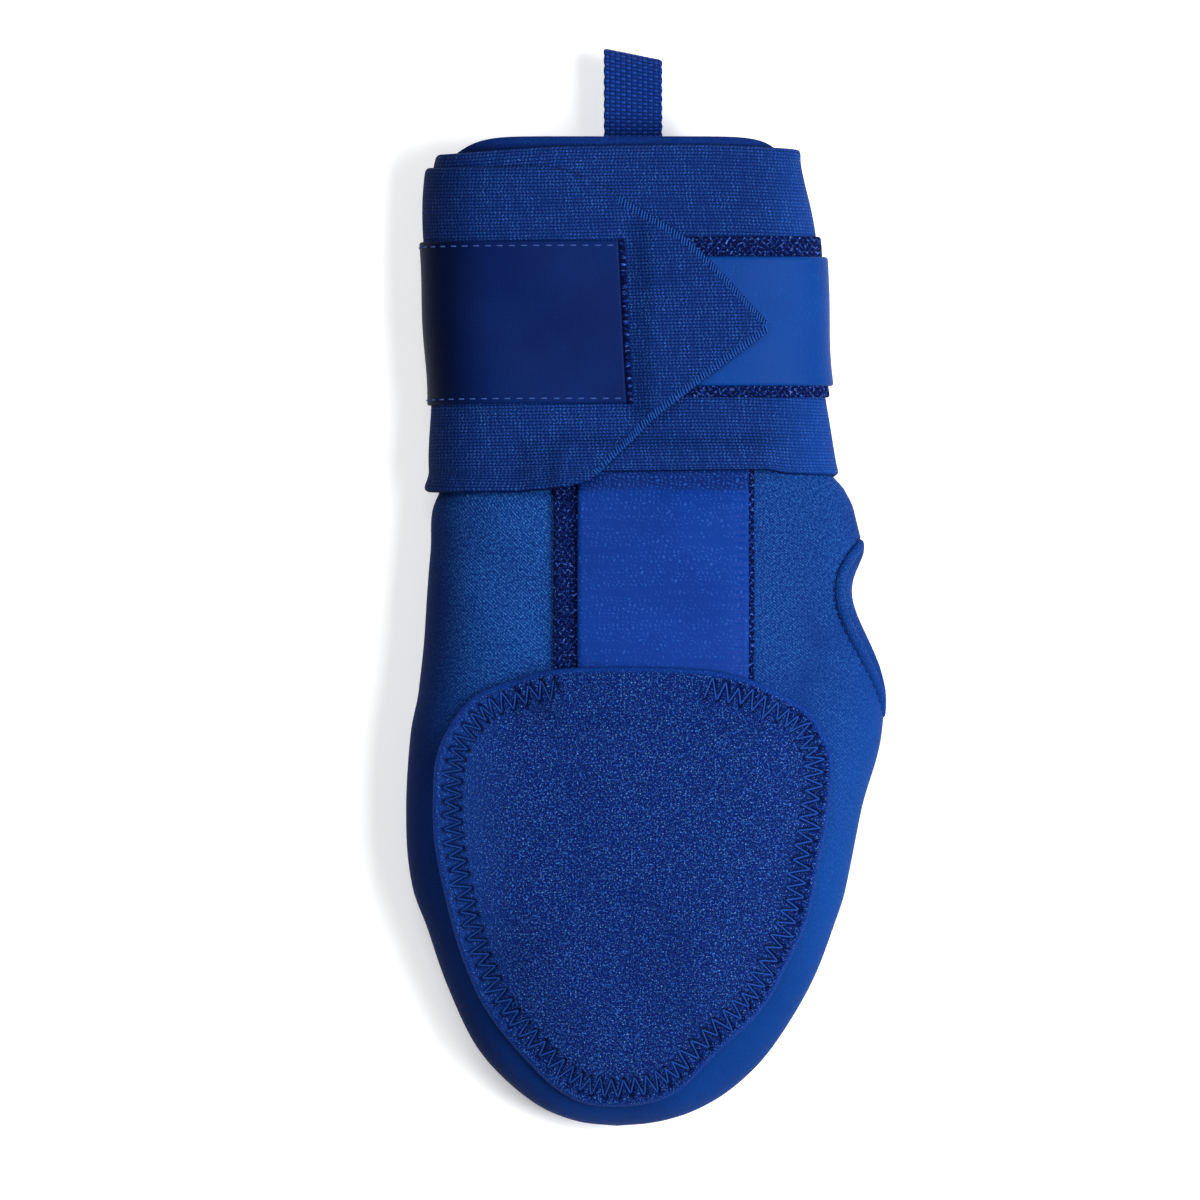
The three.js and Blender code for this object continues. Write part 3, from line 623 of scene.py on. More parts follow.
def jersey():
    m = Looks("jersey", 0.75)
    wander = m.noise(0.5, uv=True)
    wale, course = 1.15, 0.95
    knit = m.times(
        m.wave(m.grow(wander, 5.0, m.u), wale), m.wave(m.grow(wander, 4.0, m.v), course)
    )
    fleck = m.noise(1.75, stretch=(1.0, 0.75, 1), uv=True)
    grain = m.noise(2600)
    cloud = m.noise(28, 3.0)
    worn = m.noise(70, 3.0)
    # The light flecks show beside the strap and fade out towards the sides and the fingertips.
    up = m.ramp(m.y, -0.06, 0.06)
    side = m.ramp(m.math("ABSOLUTE", m.x), 0.072, 0.052)
    left = m.grow(m.ramp(m.x, 0.03, 0.0), 0.3, 0.7)
    area = m.grow(m.times(m.times(up, side), left), 0.92, 0.08)
    fine = m.grow(knit, 0.5, 0.5)
    dots = m.times(m.ramp(fleck, 0.4, 0.62), m.ramp(fine, 0.35, 0.85))
    light = m.times(dots, m.times(area, m.ramp(cloud, 0.15, 0.5)))
    color = m.mix(m.ramp(cloud, 0.3, 0.7), srgb(5, 39, 102), srgb(6, 47, 114))
    color = m.tint(color, m.ramp(worn, 0.5, 0.8), 0.3, srgb(2, 33, 92))
    # Painted light: the fingers are lighter and greener on the thumb's side, where the light falls.
    lit_fingers = m.times(m.ramp(m.y, 0.05, -0.03), 0.6)
    thumb_side = m.ramp(m.x, 0.0, 0.03)
    color = m.tint(color, lit_fingers, thumb_side, srgb(6, 57, 124))
    # The cloth beside the strap lies in a little shade.
    beside = m.times(m.ramp(m.x, 0.056, 0.036), thumb_side)
    color = m.tint(color, beside, 0.3, srgb(3, 28, 88))
    color = m.tint(color, m.ramp(fleck, 0.52, 0.34), m.times(area, 0.45), srgb(3, 22, 72))
    color = m.tint(color, light, 0.8, srgb(56, 112, 180))
    color = m.tint(color, m.ramp(grain, 0.55, 0.75), 0.2, srgb(14, 66, 146))
    # The rim that shows beyond the wrap is a darker navy, with painted shade where it meets the
    # wrap.
    rim = m.times(m.ramp(m.y, 0.172, 0.18), 0.72)
    color = m.mix(rim, color, srgb(3, 27, 88))
    color = m.tint(color, m.times(m.ramp(m.y, 0.1885, 0.1862), rim), 0.9, srgb(1, 11, 48))
    # Painted shade: the side of the little finger, which faces away from the thumb and from the
    # light, is darkened by the way its surface faces.
    facing, _ = m.split(m.nodes.new("ShaderNodeNewGeometry").outputs["Normal"])
    flank_shade = m.times(m.ramp(facing, -0.18, -0.72), 0.72)
    color = m.tint(color, flank_shade, m.ramp(m.x, -0.012, -0.03), srgb(1, 10, 48))
    height = m.math("ADD", m.times(fleck, 0.8), m.times(grain, 1.2))
    return m.finish(color, m.bump(height, 0.00014, 0.7), m.grow(grain, 0.2, 0.6))


def lining():
    m = Looks("lining", 0.9)
    grain = m.noise(1500)
    color = m.mix(grain, srgb(16, 36, 92), srgb(26, 54, 126))
    return m.finish(color, m.bump(grain, 0.0002, 0.5))


def nubby():
    """The pad's cloth: short bright worms on navy, painted shade in the seam's grooves, and smooth
    on the rim.
    """
    m = Looks("nubby_pad", 0.6)
    worm = m.noise(0.95, 1.5, uv=True, roughness=0.55)
    second = m.noise(1.25, 1.5, uv=True, roughness=0.55, stretch=(1.1, -0.9, 1))
    ridge, other = (m.math("ABSOLUTE", m.grow(noise, 2.0, -1.0)) for noise in (worm, second))
    line = m.math("MAXIMUM", m.ramp(ridge, 0.17, 0.03), m.ramp(other, 0.13, 0.0))
    line = m.times(line, m.ramp(m.noise(1.5, 1.0, uv=True), 0.42, 0.62))
    fine = m.noise(3.0, uv=True)
    cloud = m.noise(38, 3.0)
    color = m.mix(m.ramp(fine, 0.36, 0.62), srgb(2, 10, 62), srgb(6, 34, 112))
    color = m.tint(color, line, 0.85, srgb(42, 92, 186))
    spark = m.ramp(m.noise(2.0, 1.0, uv=True), 0.63, 0.7)
    color = m.tint(color, spark, 0.85, srgb(96, 150, 214))
    color = m.tint(color, m.ramp(cloud, 0.4, 0.75), 0.25, srgb(1, 18, 78))
    # Painted light: towards the little finger's side, which turns from the light, the pad is
    # lightened a little.
    color = m.tint(color, m.ramp(m.x, -0.034, -0.058), 0.32, srgb(34, 84, 184))
    # The seam layer holds painted shade for the seam's grooves, and the smooth rim.
    _, groove_shade, rim = m.layer("seam")
    color = m.tint(color, groove_shade, 0.85, srgb(1, 9, 48))
    color = m.tint(color, rim, 0.8, srgb(7, 46, 122))
    height = m.times(m.math("ADD", line, m.times(fine, 0.8)), m.grow(rim, -0.7, 1.0))
    return m.finish(color, m.bump(height, 0.0006))


def elastic():
    """Ribs along the band, with light specks that lean to and fro from rib to rib."""
    m = Looks("elastic", 0.7)
    pitch, speck, lean = 0.98, 1.1, 0.55
    lines = m.math("DIVIDE", m.v, pitch)
    slant = m.times(m.math("PINGPONG", lines, 1.0), lean)
    shift = m.grow(m.noise(0.5, uv=True), 1.6, slant)
    dot = m.math("SINE", m.times(m.grow(m.u, 1 / speck, shift), 2 * math.pi))
    rib = m.hump(lines, 1)
    fine = m.noise(2.6, uv=True)
    patchy = m.noise(0.35, 3.0, stretch=(1, 0.5, 1), uv=True)
    cloud = m.noise(30, 3.0)
    long = m.noise(1.0, stretch=(0.03, 0.9, 1), uv=True)
    light = m.times(m.ramp(dot, -0.1, 0.9), m.ramp(rib, 0.2, 0.75))
    light = m.times(light, m.ramp(fine, 0.34, 0.6))
    color = m.mix(m.ramp(rib, 0.1, 0.7), srgb(5, 22, 70), srgb(8, 35, 96))
    strength = m.grow(m.ramp(patchy, 0.35, 0.7), 0.55, 0.38)
    color = m.tint(color, light, strength, srgb(52, 102, 178))
    color = m.tint(color, m.ramp(cloud, 0.35, 0.75), 0.3, srgb(4, 28, 84))
    color = m.tint(color, m.ramp(long, 0.5, 0.8), 0.3, srgb(3, 24, 76))
    # Painted shade darkens the band on the little finger's side, and painted light brightens it on
    # the thumb's.
    color = m.tint(color, m.ramp(m.x, -0.046, -0.064), 0.55, srgb(1, 7, 32))
    color = m.tint(color, m.ramp(m.x, 0.03, 0.056), 0.26, srgb(20, 82, 178))
    height = m.math("ADD", rib, m.times(light, 0.7))
    height = m.math("ADD", height, m.times(fine, 0.5))
    return m.finish(color, m.bump(height, 0.00022, 0.8))


def loop_pile():
    m = Looks("loop_pile", 0.85)
    braid_pitch, steep = 2.1, 0.9
    skewed = m.grow(m.noise(0.5, uv=True), 3.0, m.u)
    a, b = (m.wave(m.grow(m.v, way, skewed), braid_pitch) for way in (steep, -steep))
    braid = m.math("MAXIMUM", m.ramp(a, 0.2, 0.9), m.ramp(b, 0.2, 0.9))
    fine = m.noise(1.5, uv=True)
    line = m.times(braid, m.ramp(fine, 0.34, 0.6))
    color = m.mix(line, srgb(2, 10, 48), srgb(17, 42, 122))
    spark = m.times(line, m.ramp(m.noise(1.1, 1.0, uv=True), 0.5, 0.64))
    color = m.tint(color, spark, 0.8, srgb(74, 114, 200))
    height = m.math("ADD", line, m.times(fine, 0.6))
    return m.finish(color, m.bump(height, 0.0006))


def brushed(name, base, light, dark, dash_long, band, strength, shaded=False):
    """A smooth face with uneven rows of small slanted dashes."""
    m = Looks(name, 0.5, specular=0.045)
    row_pitch, scatter = 1.15, 12.9898
    wander = m.noise(0.45, uv=True)
    v = m.grow(wander, 3.0, m.v)
    row = m.math("FLOOR", m.math("DIVIDE", v, row_pitch))
    jump = m.math("SINE", m.times(row, scatter))
    skew = m.grow(v, 0.8, m.grow(jump, 3.1, m.u))
    a = m.wave(m.grow(wander, 2.0, skew), dash_long)
    bands = m.ramp(m.noise(1.0, 1.0, stretch=(0.02, band, 1), uv=True), 0.34, 0.56)
    patchy = m.ramp(m.noise(0.4, uv=True), 0.32, 0.56)
    fine = m.noise(3.0, uv=True)
    every_dash = m.times(m.ramp(a, 0.3, 0.95), m.ramp(m.hump(v, row_pitch), 0.45, 0.9))
    dash = m.times(every_dash, m.times(bands, patchy))
    color = m.mix(m.ramp(m.noise(40, 3.0), 0.3, 0.7), base, dark)
    color = m.tint(color, dash, strength, light)
    color = m.tint(color, m.ramp(fine, 0.55, 0.8), 0.15, light)
    if shaded:
        # Painted shade: the end that goes in under the wrap is darkened, and flecked.
        near = m.ramp(m.grow(m.noise(90), 0.004, m.y), 0.0872, 0.0898)
        under = m.mix(m.times(every_dash, 0.5), srgb(3, 26, 84), srgb(40, 90, 178))
        color = m.tint(color, near, 0.85, under)
    height = m.math("ADD", m.times(dash, 0.6), m.times(fine, 0.7))
    return m.finish(color, m.bump(height, 0.00015, 0.5))


def satin_patch():
    m = Looks("satin_patch", 0.45)
    weave = m.math("ADD", m.wave(m.u, 0.62), m.wave(m.v, 0.56))
    fine = m.noise(2.2, 3.0, uv=True)
    color = m.mix(m.ramp(m.noise(45, 3.0), 0.3, 0.75), srgb(3, 22, 72), srgb(4, 28, 82))
    color = m.tint(color, m.ramp(fine, 0.5, 0.85), 0.3, srgb(14, 44, 108))
    # Painted shade darkens the patch towards the little finger's side, where it turns from the
    # light.
    color = m.tint(color, m.ramp(m.x, -0.044, -0.0615), 0.78, srgb(1, 3, 16))
    return m.finish(color, m.bump(m.math("ADD", m.times(weave, 0.3), fine), 0.00008, 0.5))


def plain_weave():
    m = Looks("plain_weave", 0.6)
    over = m.times(m.wave(m.u, 3.2), m.wave(m.v, 2.2))
    cell = m.math("ABSOLUTE", over)
    fine = m.noise(4.0, uv=True)
    color = m.mix(m.ramp(cell, 0.0, 0.35), srgb(5, 22, 76), srgb(14, 46, 120))
    color = m.tint(color, m.ramp(over, 0.2, 0.9), 0.45, srgb(36, 80, 162))
    color = m.tint(color, m.ramp(fine, 0.55, 0.8), 0.3, srgb(60, 100, 180))
    height = m.math("ADD", m.times(cell, 1.2), m.times(fine, 0.4))
    return m.finish(color, m.bump(height, 0.0004))


def thread(name, base, light):
    m = Looks(name, 0.5, specular=0.05)
    twist = m.wave(m.grow(m.v, 0.9, m.u), 0.5)
    color = m.mix(m.grow(twist, 0.5, 0.5), base, light)
    color = m.tint(color, m.noise(3000), 0.4, base)
    return m.finish(color, m.bump(twist, 0.00008, 0.6))


JERSEY = jersey()
LINING = lining()
NUBBY = nubby()
ELASTIC = elastic()
LOOP_PILE = loop_pile()
STRAP = brushed(
    "brushed_strap", srgb(5, 45, 121), srgb(46, 98, 186), srgb(4, 40, 113),
    dash_long=1.35, band=0.4, strength=0.36, shaded=True,
)
TAB = brushed(
    "smooth_tab", srgb(3, 51, 119), srgb(20, 80, 156), srgb(3, 47, 112),
    dash_long=1.8, band=0.3, strength=0.2,
)
SATIN = satin_patch()
WEAVE = plain_weave()
THREAD = thread("blue_thread", srgb(6, 36, 108), srgb(40, 88, 172))
EDGE_THREAD = thread("edge_thread", srgb(6, 38, 108), srgb(42, 98, 184))
DARK_THREAD = thread("navy_thread", srgb(2, 10, 46), srgb(14, 40, 112))
LABEL_THREAD = thread("label_thread", srgb(30, 56, 124), srgb(74, 106, 178))


# hand shell
SHELL_AROUND, SHELL_STEPS, LINING_STEPS, LIP_ROWS = 264, 240, 60, 9
# The UVs of the shell and the hem measure this much round the hand and across the hem.
UV_GIRTH, UV_HEM = 300.0, 16.08
# Shares of the length where the rim's dip begins, the wall thins towards the cuff, the inset
# grows from the fingertips and the tip's own wall ends.
DIP_FROM, WALL_THINS, INSET_GROWS, TIP_TO = 0.8, (0.6, 0.68), (-0.02, 0.16), 0.3
THUMB_CUTS, THUMB_BULGE, HEM_SQUARE = 128, 0.3, 0.8
HEM_COUNT, HEM_CORNERS, HEM_GATHER, HEM_STITCH = 640, 24, 1.3, 2.6


def shell():
    around, lip = SHELL_AROUND, CUFF_WALL / 2
    turns = np.arange(around) / around
    rim_x, _ = rings([LENGTH], turns)
    half, centre, *_ = section(LENGTH)
    dip = RIM_DIP * np.abs((rim_x[0] - centre) / half) ** RIM_SQUARENESS

    def places(along):
        return along - dip * smooth(along / LENGTH, DIP_FROM, 1)

    def outer(along):
        return on_turn(turns, places(along), 0.0)

    def inner(along):
        share = along / LENGTH
        wall = HAND_WALL + (CUFF_WALL - HAND_WALL) * float(smooth(share, *WALL_THINS))
        inset = wall * float(smooth(share, *INSET_GROWS))
        # Sections change slowly, so each point takes its own place along.
        place = places(along)
        table = np.linspace(place.min(), place.max() + 1e-6, 6)
        x, z = (
            np.array([np.interp(place[k], table, grid[:, k]) for k in range(around)])
            for grid in rings(table, turns, inset)
        )
        y = place + TIP_WALL * (1 - float(smooth(share, 0, TIP_TO))) - ORIGIN_FROM_TIP
        return np.stack([x, y, z], axis=1)

    def before_lip(steps):
        """Places along, closer together towards the fingertips."""
        return [a for a in LENGTH * (np.arange(1, steps) / steps) ** 1.5 if a < LENGTH - lip]

    v_at = before_lip(SHELL_STEPS)
    rows = [outer(a) for a in v_at]
    outside, inside = outer(LENGTH - lip), inner(LENGTH - lip)
    for angle in np.linspace(0, np.pi, LIP_ROWS):
        share = (1 - math.cos(angle)) / 2
        p = outside * (1 - share) + inside * share
        p[:, 1] += lip * math.sin(angle)
        rows.append(p)
        v_at.append(LENGTH + lip * angle)
    # The lining begins two rows before the lip's end.
    lining_from = (len(rows) - 3) * around
    for a in reversed(before_lip(LINING_STEPS)):
        rows.append(inner(a))
        v_at.append(LENGTH + lip * math.pi + LENGTH - a)
    _, tip_x, tip_z, *_ = section(0)
    first, last = ([[float(tip_x), y - ORIGIN_FROM_TIP, float(tip_z)]] for y in (0, TIP_WALL))
    points = np.concatenate([first, *rows, last])
    end, last_at = 1 + (len(rows) - 1) * around, len(points) - 1
    faces = [(0, 1 + (j + 1) % around, 1 + j) for j in range(around)]
    faces += turned(grid_faces(len(rows), around, 1, close=True))
    faces += [(end + j, end + (j + 1) % around, last_at) for j in range(around)]
    uvs = []
    for face in faces:
        columns = [(v - 1) % around for v in face if 0 < v < last_at]
        hint = max(columns) if max(columns) - min(columns) > around / 2 else min(columns)
        for vertex in face:
            row, j = divmod(vertex - 1, around)
            if vertex in (0, last_at):
                uvs.append((hint * UV_GIRTH / around, 2 * LENGTH if vertex else 0.0))
            else:
                j = around if j == 0 and hint > around / 2 else j
                uvs.append((j * UV_GIRTH / around, v_at[row]))
    obj = make_object("hand_body", points, faces, uvs, JERSEY, by_corner=True)
    obj.data.materials.append(LINING)
    for poly in obj.data.polygons:
        if min(poly.vertices) > lining_from:
            poly.material_index = 1
    return obj


def thumb_edge(angle):
    """A point of the thumb opening's edge, and the normal there."""
    along = THUMB_FROM_TIP + THUMB_LENGTH / 2 * np.cos(angle)
    bulge = 1 + THUMB_BULGE * np.cos(angle)
    height = THUMB_HEIGHT / 2 * np.sin(angle) * bulge
    return on_side(section(along)[2] + height, along)


def cut_thumb(body):
    edge, normal = thumb_edge(2 * np.pi * np.arange(THUMB_CUTS) / THUMB_CUTS)
    levels = [10, 4, HEM_PROUD, 0, -1.2, -HAND_WALL / 2, -HAND_WALL, -10]
    points = np.concatenate([edge + normal * level for level in levels])
    last = (len(levels) - 1) * THUMB_CUTS
    faces = [tuple(range(THUMB_CUTS)), *turned(grid_faces(len(levels), THUMB_CUTS, close=True))]
    faces.append(tuple(last + j for j in reversed(range(THUMB_CUTS))))
    cutter = make_object("thumb_cutter", points, faces, np.zeros((len(points), 2)), LINING)
    modifier = body.modifiers.new("thumb", "BOOLEAN")
    modifier.object = cutter
    modifier.operation = "DIFFERENCE"
    modifier.solver = "EXACT"
    bpy.context.view_layer.objects.active = body
    bpy.ops.object.modifier_apply(modifier=modifier.name)
    bpy.data.objects.remove(cutter)


def thumb_ring():
    """The hem round the thumb opening, and the running stitches on its outer face."""
    count, corners = HEM_COUNT, HEM_CORNERS
    edge, normal = thumb_edge(2 * np.pi * np.arange(count) / count)
    run = np.roll(edge, -1, axis=0) - np.roll(edge, 1, axis=0)
    inward = unit(np.cross(normal, run))
    centre = edge + inward * (GAP + HEM_WIDTH / 2) - normal * (HAND_WALL / 2)
    corner = 2 * np.pi * np.arange(corners) / corners
    c, s = (np.sign(part) * np.abs(part) ** HEM_SQUARE for part in (np.cos(corner), np.sin(corner)))
    # Each stitch draws the hem in a little.
    lengths = np.linalg.norm(run, axis=1).cumsum() / 2
    uneven = 0.8 * np.sin(lengths * 0.9)
    gathers = 0.5 + 0.5 * np.cos(2 * np.pi * lengths / HEM_GATHER + uneven)
    towards_seam = np.clip(-c, 0, 1) * 0.16 + 0.02
    pull = 1 - gathers[:, None] ** 2 * towards_seam
    across = inward[:, None] * (HEM_WIDTH / 2 * c)[:, None]
    out = normal[:, None] * ((HAND_WALL / 2 + HEM_PROUD) * s * pull)[..., None]
    ring = centre[:, None] + across + out
    v = np.arange(corners) * UV_HEM / corners
    uv = np.stack([np.repeat(lengths, corners), np.tile(v, count)], axis=1)
    faces = grid_faces(count, corners, close=True, ring=True)
    hem = make_object("thumb_hem", ring.reshape(-1, 3), faces, uv, JERSEY)
    sink = -0.35 * np.abs(np.linspace(-1, 1, 6)) ** 3
    paths = []
    for k in range(int(lengths[-1] / HEM_STITCH)):
        at = np.linspace(k * HEM_STITCH + 0.4, k * HEM_STITCH + 2.2, 6)
        angle = np.interp(at, lengths, np.arange(count)) / count * 2 * np.pi
        e, n = thumb_edge(angle)
        w = unit(np.cross(n, thumb_edge(angle + 0.02)[0] - e))
        paths.append(e - w * 0.35 + n * (0.16 + sink[:, None]))
    return hem, threads("thumb_stitches", paths, DARK_THREAD, radius=0.15)


# finger pad
def closed_curve(points, count):
    """Even points on a closed curve through points, and its length."""
    n = len(points)
    fine = [bend(*(points[(i + k - 1) % n] for k in range(4)), 24) for i in range(n)]
    closed = np.concatenate([*fine, fine[0][:1]])
    run = run_along(closed)
    at = np.linspace(0, run[-1], count, endpoint=False)
    return np.stack([np.interp(at, run, closed[:, k]) for k in range(2)], axis=1), run[-1]


def pad_inward():
    """The way from each place of the pad's edge into the pad."""
    way = unit(np.roll(PAD_EDGE, -1, axis=0) - np.roll(PAD_EDGE, 1, axis=0))
    inward = np.stack([-way[:, 1], way[:, 0]], axis=1)
    return inward if ((PAD_MIDDLE - PAD_EDGE) * inward).sum() > 0 else -inward


PAD_LEFT, PAD_RIGHT = (
    np.stack([PAD_ROWS[:, k] * HAND_WIDTH, PAD_ROWS[:, 0] * LENGTH], axis=1) for k in (1, 2)
)
# The pad's rings have this many points, and a third of them inside its seam and below.
PAD_COUNT, COARSE = 1080, 3
PAD_EDGE, PAD_ROUND = closed_curve(np.concatenate([PAD_LEFT, PAD_RIGHT[::-1]]), PAD_COUNT)
PAD_MIDDLE = np.array([-0.03 * HAND_WIDTH, 0.26 * LENGTH])
PAD_RUN = np.arange(PAD_COUNT) * PAD_ROUND / PAD_COUNT
PAD_INWARD = pad_inward()
ZIG_COUNT = 94
ZIG = PAD_ROUND / ZIG_COUNT
ZIG_OUTER, ZIG_INNER, ZIG_UNEVEN, GROOVE_WIDTH, GROOVE_DEPTH = 2.6, 8.2, 0.75, 0.9, 1.25
# The sewn channel, and the pad's heights as shares of its thickness: its lower edge, what
# stands up beside that, and the dome on top.
CHANNEL_AT, CHANNEL_WIDTH, CHANNEL_DEPTH, RIM_WIDTH = 5.3, 2.9, 0.35, 1.7
EDGE_SHARE, SIDE_SHARE, DOME_SHARE = 0.28, 0.62, 0.38
# The stitches leave out the top edge, where the strap goes in.
PAD_SEWN = 1 - within(PAD_EDGE[:, 0], -23, 14, 0, 5) * smooth(PAD_EDGE[:, 1], 126, 130)


def zigzag_depth(run):
    """Distance of the zigzag from the pad's edge, at a place round it."""
    phase = np.mod(run / ZIG, 1)
    turn = 2 * np.pi * run / PAD_ROUND
    uneven = ZIG_UNEVEN * np.sin(turn * 53) * np.sin(turn * 17 + 1)
    return ZIG_OUTER + (ZIG_INNER - ZIG_OUTER) * (1 - np.abs(2 * phase - 1)) + uneven


def seam_groove(distance, run):
    """How deep the seam's legs press in, from 0 to 1."""
    leg = np.hypot(ZIG / 2, ZIG_INNER - ZIG_OUTER)
    beside = np.abs(distance - zigzag_depth(run)) * (ZIG / 2) / leg
    return np.exp(-((beside / GROOVE_WIDTH) ** 2)) * within(distance, ZIG_OUTER, ZIG_INNER, 0, 1)


def pad_height(distance, run, sewn):
    """Thickness of the pad at a distance from its edge, at a place round it."""
    edge, side = EDGE_SHARE * PAD_THICKNESS, SIDE_SHARE * PAD_THICKNESS
    body = side + DOME_SHARE * PAD_THICKNESS * smooth(distance, 5, 26)
    rim = np.sqrt(np.clip(1 - (1 - np.clip(distance / RIM_WIDTH, 0, 1)) ** 2, 0, 1))
    base = edge + (body - edge) * rim
    channel = np.exp(-(((distance - CHANNEL_AT) / CHANNEL_WIDTH) ** 2))
    # Each leg of the seam presses its own groove, and the pad swells between the legs.
    return base - sewn * (CHANNEL_DEPTH * channel + GROOVE_DEPTH * seam_groove(distance, run))


def finger_pad():
    """The domed pad, in rings from its edge to its middle above and below."""
    band = np.concatenate([
        [0, 0.06, 0.2, 0.45, 0.8, 1.2, 1.7], np.arange(2.05, 9.4, 0.35), np.arange(9.8, 12.4, 0.6)
    ])
    below = (0.04, 0.12, 0.25, 0.4, 0.55, 0.7, 0.85)
    n, m = PAD_COUNT, PAD_COUNT // COARSE
    rows, spots, seams = [], [], []

    def ring(spot, height):
        spots.append(spot)
        rows.append(on_back(spot[:, 0], spot[:, 1], pad_lift(spot) + height))

    for d in band:
        ring(PAD_EDGE + PAD_INWARD * d, pad_height(d, PAD_RUN, PAD_SEWN))
        # The seam layer's first part is the painted shade of the grooves, its second the smooth
        # rim.
        groove_shade = seam_groove(d, PAD_RUN) * PAD_SEWN
        seams.append(np.stack([groove_shade, np.full(n, 1 - smooth(d, 0.9, 1.9))], axis=1))
    start = (PAD_EDGE + PAD_INWARD * band[-1])[::COARSE]
    for s in np.linspace(0, 1, 46)[1:-1]:
        spot = start + (PAD_MIDDLE - start) * s
        depth = band[-1] + np.linalg.norm(spot - start, axis=1)
        ring(spot, pad_height(depth, PAD_RUN[::COARSE], PAD_SEWN[::COARSE]))
    inner_rows = len(rows) - len(band)
    for s in below:
        ring((PAD_EDGE + (PAD_MIDDLE - PAD_EDGE) * s)[::COARSE], 0)
    for height in (PAD_THICKNESS, 0):
        ring(np.array([PAD_MIDDLE]), height)
    inner_at = len(band) * n
    under_at = inner_at + inner_rows * m
    crown = under_at + len(below) * m

    def join(fine_at, coarse_at):
        """Faces between a fine ring and a coarse one."""
        out = []
        for j in range(m):
            p, q, r, s = (fine_at + (j * COARSE + k) % n for k in range(COARSE + 1))
            a, b = coarse_at + j, coarse_at + (j + 1) % m
            out += [(p, a, q), (q, a, b, r), (r, b, s)]
        return out

    faces = grid_faces(len(band), n, close=True) + join(inner_at - n, inner_at)
    faces += grid_faces(inner_rows, m, inner_at, close=True)
    faces += [(under_at - m + j, crown, under_at - m + (j + 1) % m) for j in range(m)]
    faces += turned(join(0, under_at) + grid_faces(len(below), m, under_at, close=True))
    faces += [(crown - m + j, crown - m + (j + 1) % m, crown + 1) for j in range(m)]
    pad = make_object("finger_cushion", np.concatenate(rows), faces, np.concatenate(spots), NUBBY)
    seam = np.zeros((crown + 2, 2))
    seam[:inner_at] = np.concatenate(seams)
    add_layer(pad.data, "seam", seam[corner_vertices(pad.data)])
    return pad


def pad_stitches():
    """Zigzag thread sewn round the pad, open along the top."""
    paths = []
    ends = np.abs(np.linspace(-1, 1, 10)) ** 6
    for leg in range(2 * ZIG_COUNT):
        run = (leg / 2 + np.linspace(0, 0.5, 10)) * ZIG
        i = run / PAD_ROUND * PAD_COUNT
        index = i.astype(int) % PAD_COUNT
        if PAD_SEWN[index].min() < 0.5:
            continue
        after, share = (index + 1) % PAD_COUNT, (i - np.floor(i))[:, None]
        edge, inward = (
            table[index] * (1 - share) + table[after] * share for table in (PAD_EDGE, PAD_INWARD)
        )
        depth = zigzag_depth(run - (0.001 if leg % 2 else -0.001))
        spot = edge + inward * depth[:, None]
        height = pad_height(depth, run, np.ones_like(depth)) + 0.3 - 0.6 * ends
        paths.append(on_back(spot[:, 0], spot[:, 1], pad_lift(spot) + height))
    return threads("pad_zigzag", paths, THREAD, radius=0.28)


# strap
def back_sheet(name, centre, width, top, under, thickness, material, step, wave):
    """A sheet on the back of the hand, from BASE_END up to its top."""
    def place(u, v, rise):
        return on_back(centre - width / 2 + u, BASE_END + v, under + rise)

    return lay_sheet(name, width, top - BASE_END, thickness, material, step, place, wave)


def base_pile(u, v, edge):
    rough = np.sin(u * 5.1 + 2 * np.sin(v * 3.3)) * np.sin(v * 4.3 + 2 * np.sin(u * 2.9))
    return 0.1 * rough * smooth(edge, 0, 1)


def strap_puff(u, v, edge):
    """The strap swells a little, and its right edge is drawn in by its stitches."""
    near = np.exp(-(((STRAP_WIDTH - u - 2.2) / 1.8) ** 2))
    gather = near * (0.16 + 0.16 * np.cos(2 * np.pi * v / 2.3))
    return 0.25 * smooth(edge, 0, 7) - 0.25 - gather


def base_stitches():
    """Zigzag down the left of the strap's base."""
    paths = []
    left, right, first, pitch, count = -26.4, -22.0, 135.5, 3.4, 14
    t = np.linspace(0, 1, 9)
    lift = GAP + BASE_THICKNESS + 0.2 - 0.5 * np.abs(np.linspace(-1, 1, 9)) ** 6
    for k in range(count):
        for start, a, b in ((0, left, right), (0.5, right, left)):
            paths.append(on_back(a + (b - a) * t, first + (k + start + 0.5 * t) * pitch, lift))
    return threads("base_zigzag", paths, DARK_THREAD, radius=0.17)


# wrap and what lies on it
WRAP_START = turn_over_x(WRAP_TIP_X, WRAP_ROUTE[0, 1] * LENGTH)
TURN_END = 1 + WRAP_OVERLAP
CLOSURE_END = turn_over_x(CLOSURE_START_X, LOOP_FROM_TIP)
LABEL_START = turn_over_x(LABEL_EDGE_X, LABEL_FROM_TIP)
# A stitch of the label takes up this length, half of it hidden.
LABEL_STITCH = 3.6


def wrap_run():
    """Fine turns along the wrap, and the length from its point to each, in mm."""
    turns = np.linspace(WRAP_START, TURN_END, 1601)
    along = route_at(turns) * LENGTH
    return turns, run_along(on_turn(turns, along, wrap_lift(turns, along) + 1))


WRAP_TURNS, WRAP_RUN = wrap_run()
WRAP_LONG = WRAP_RUN[-1]


def wrap_reach(run, side):
    """Reach of the wrap from its route, towards the mouth where side is above 0."""
    behind = run / WRAP_WIDTH
    return np.where(side > 0, above_at(behind), below_at(behind)) * WRAP_WIDTH


def wrap_edge(turn, side):
    """Place along of the wrap's edge, side 1 towards the mouth and -1 towards the hand."""
    return route_at(turn) * LENGTH + side * wrap_reach(np.interp(turn, WRAP_TURNS, WRAP_RUN), side)


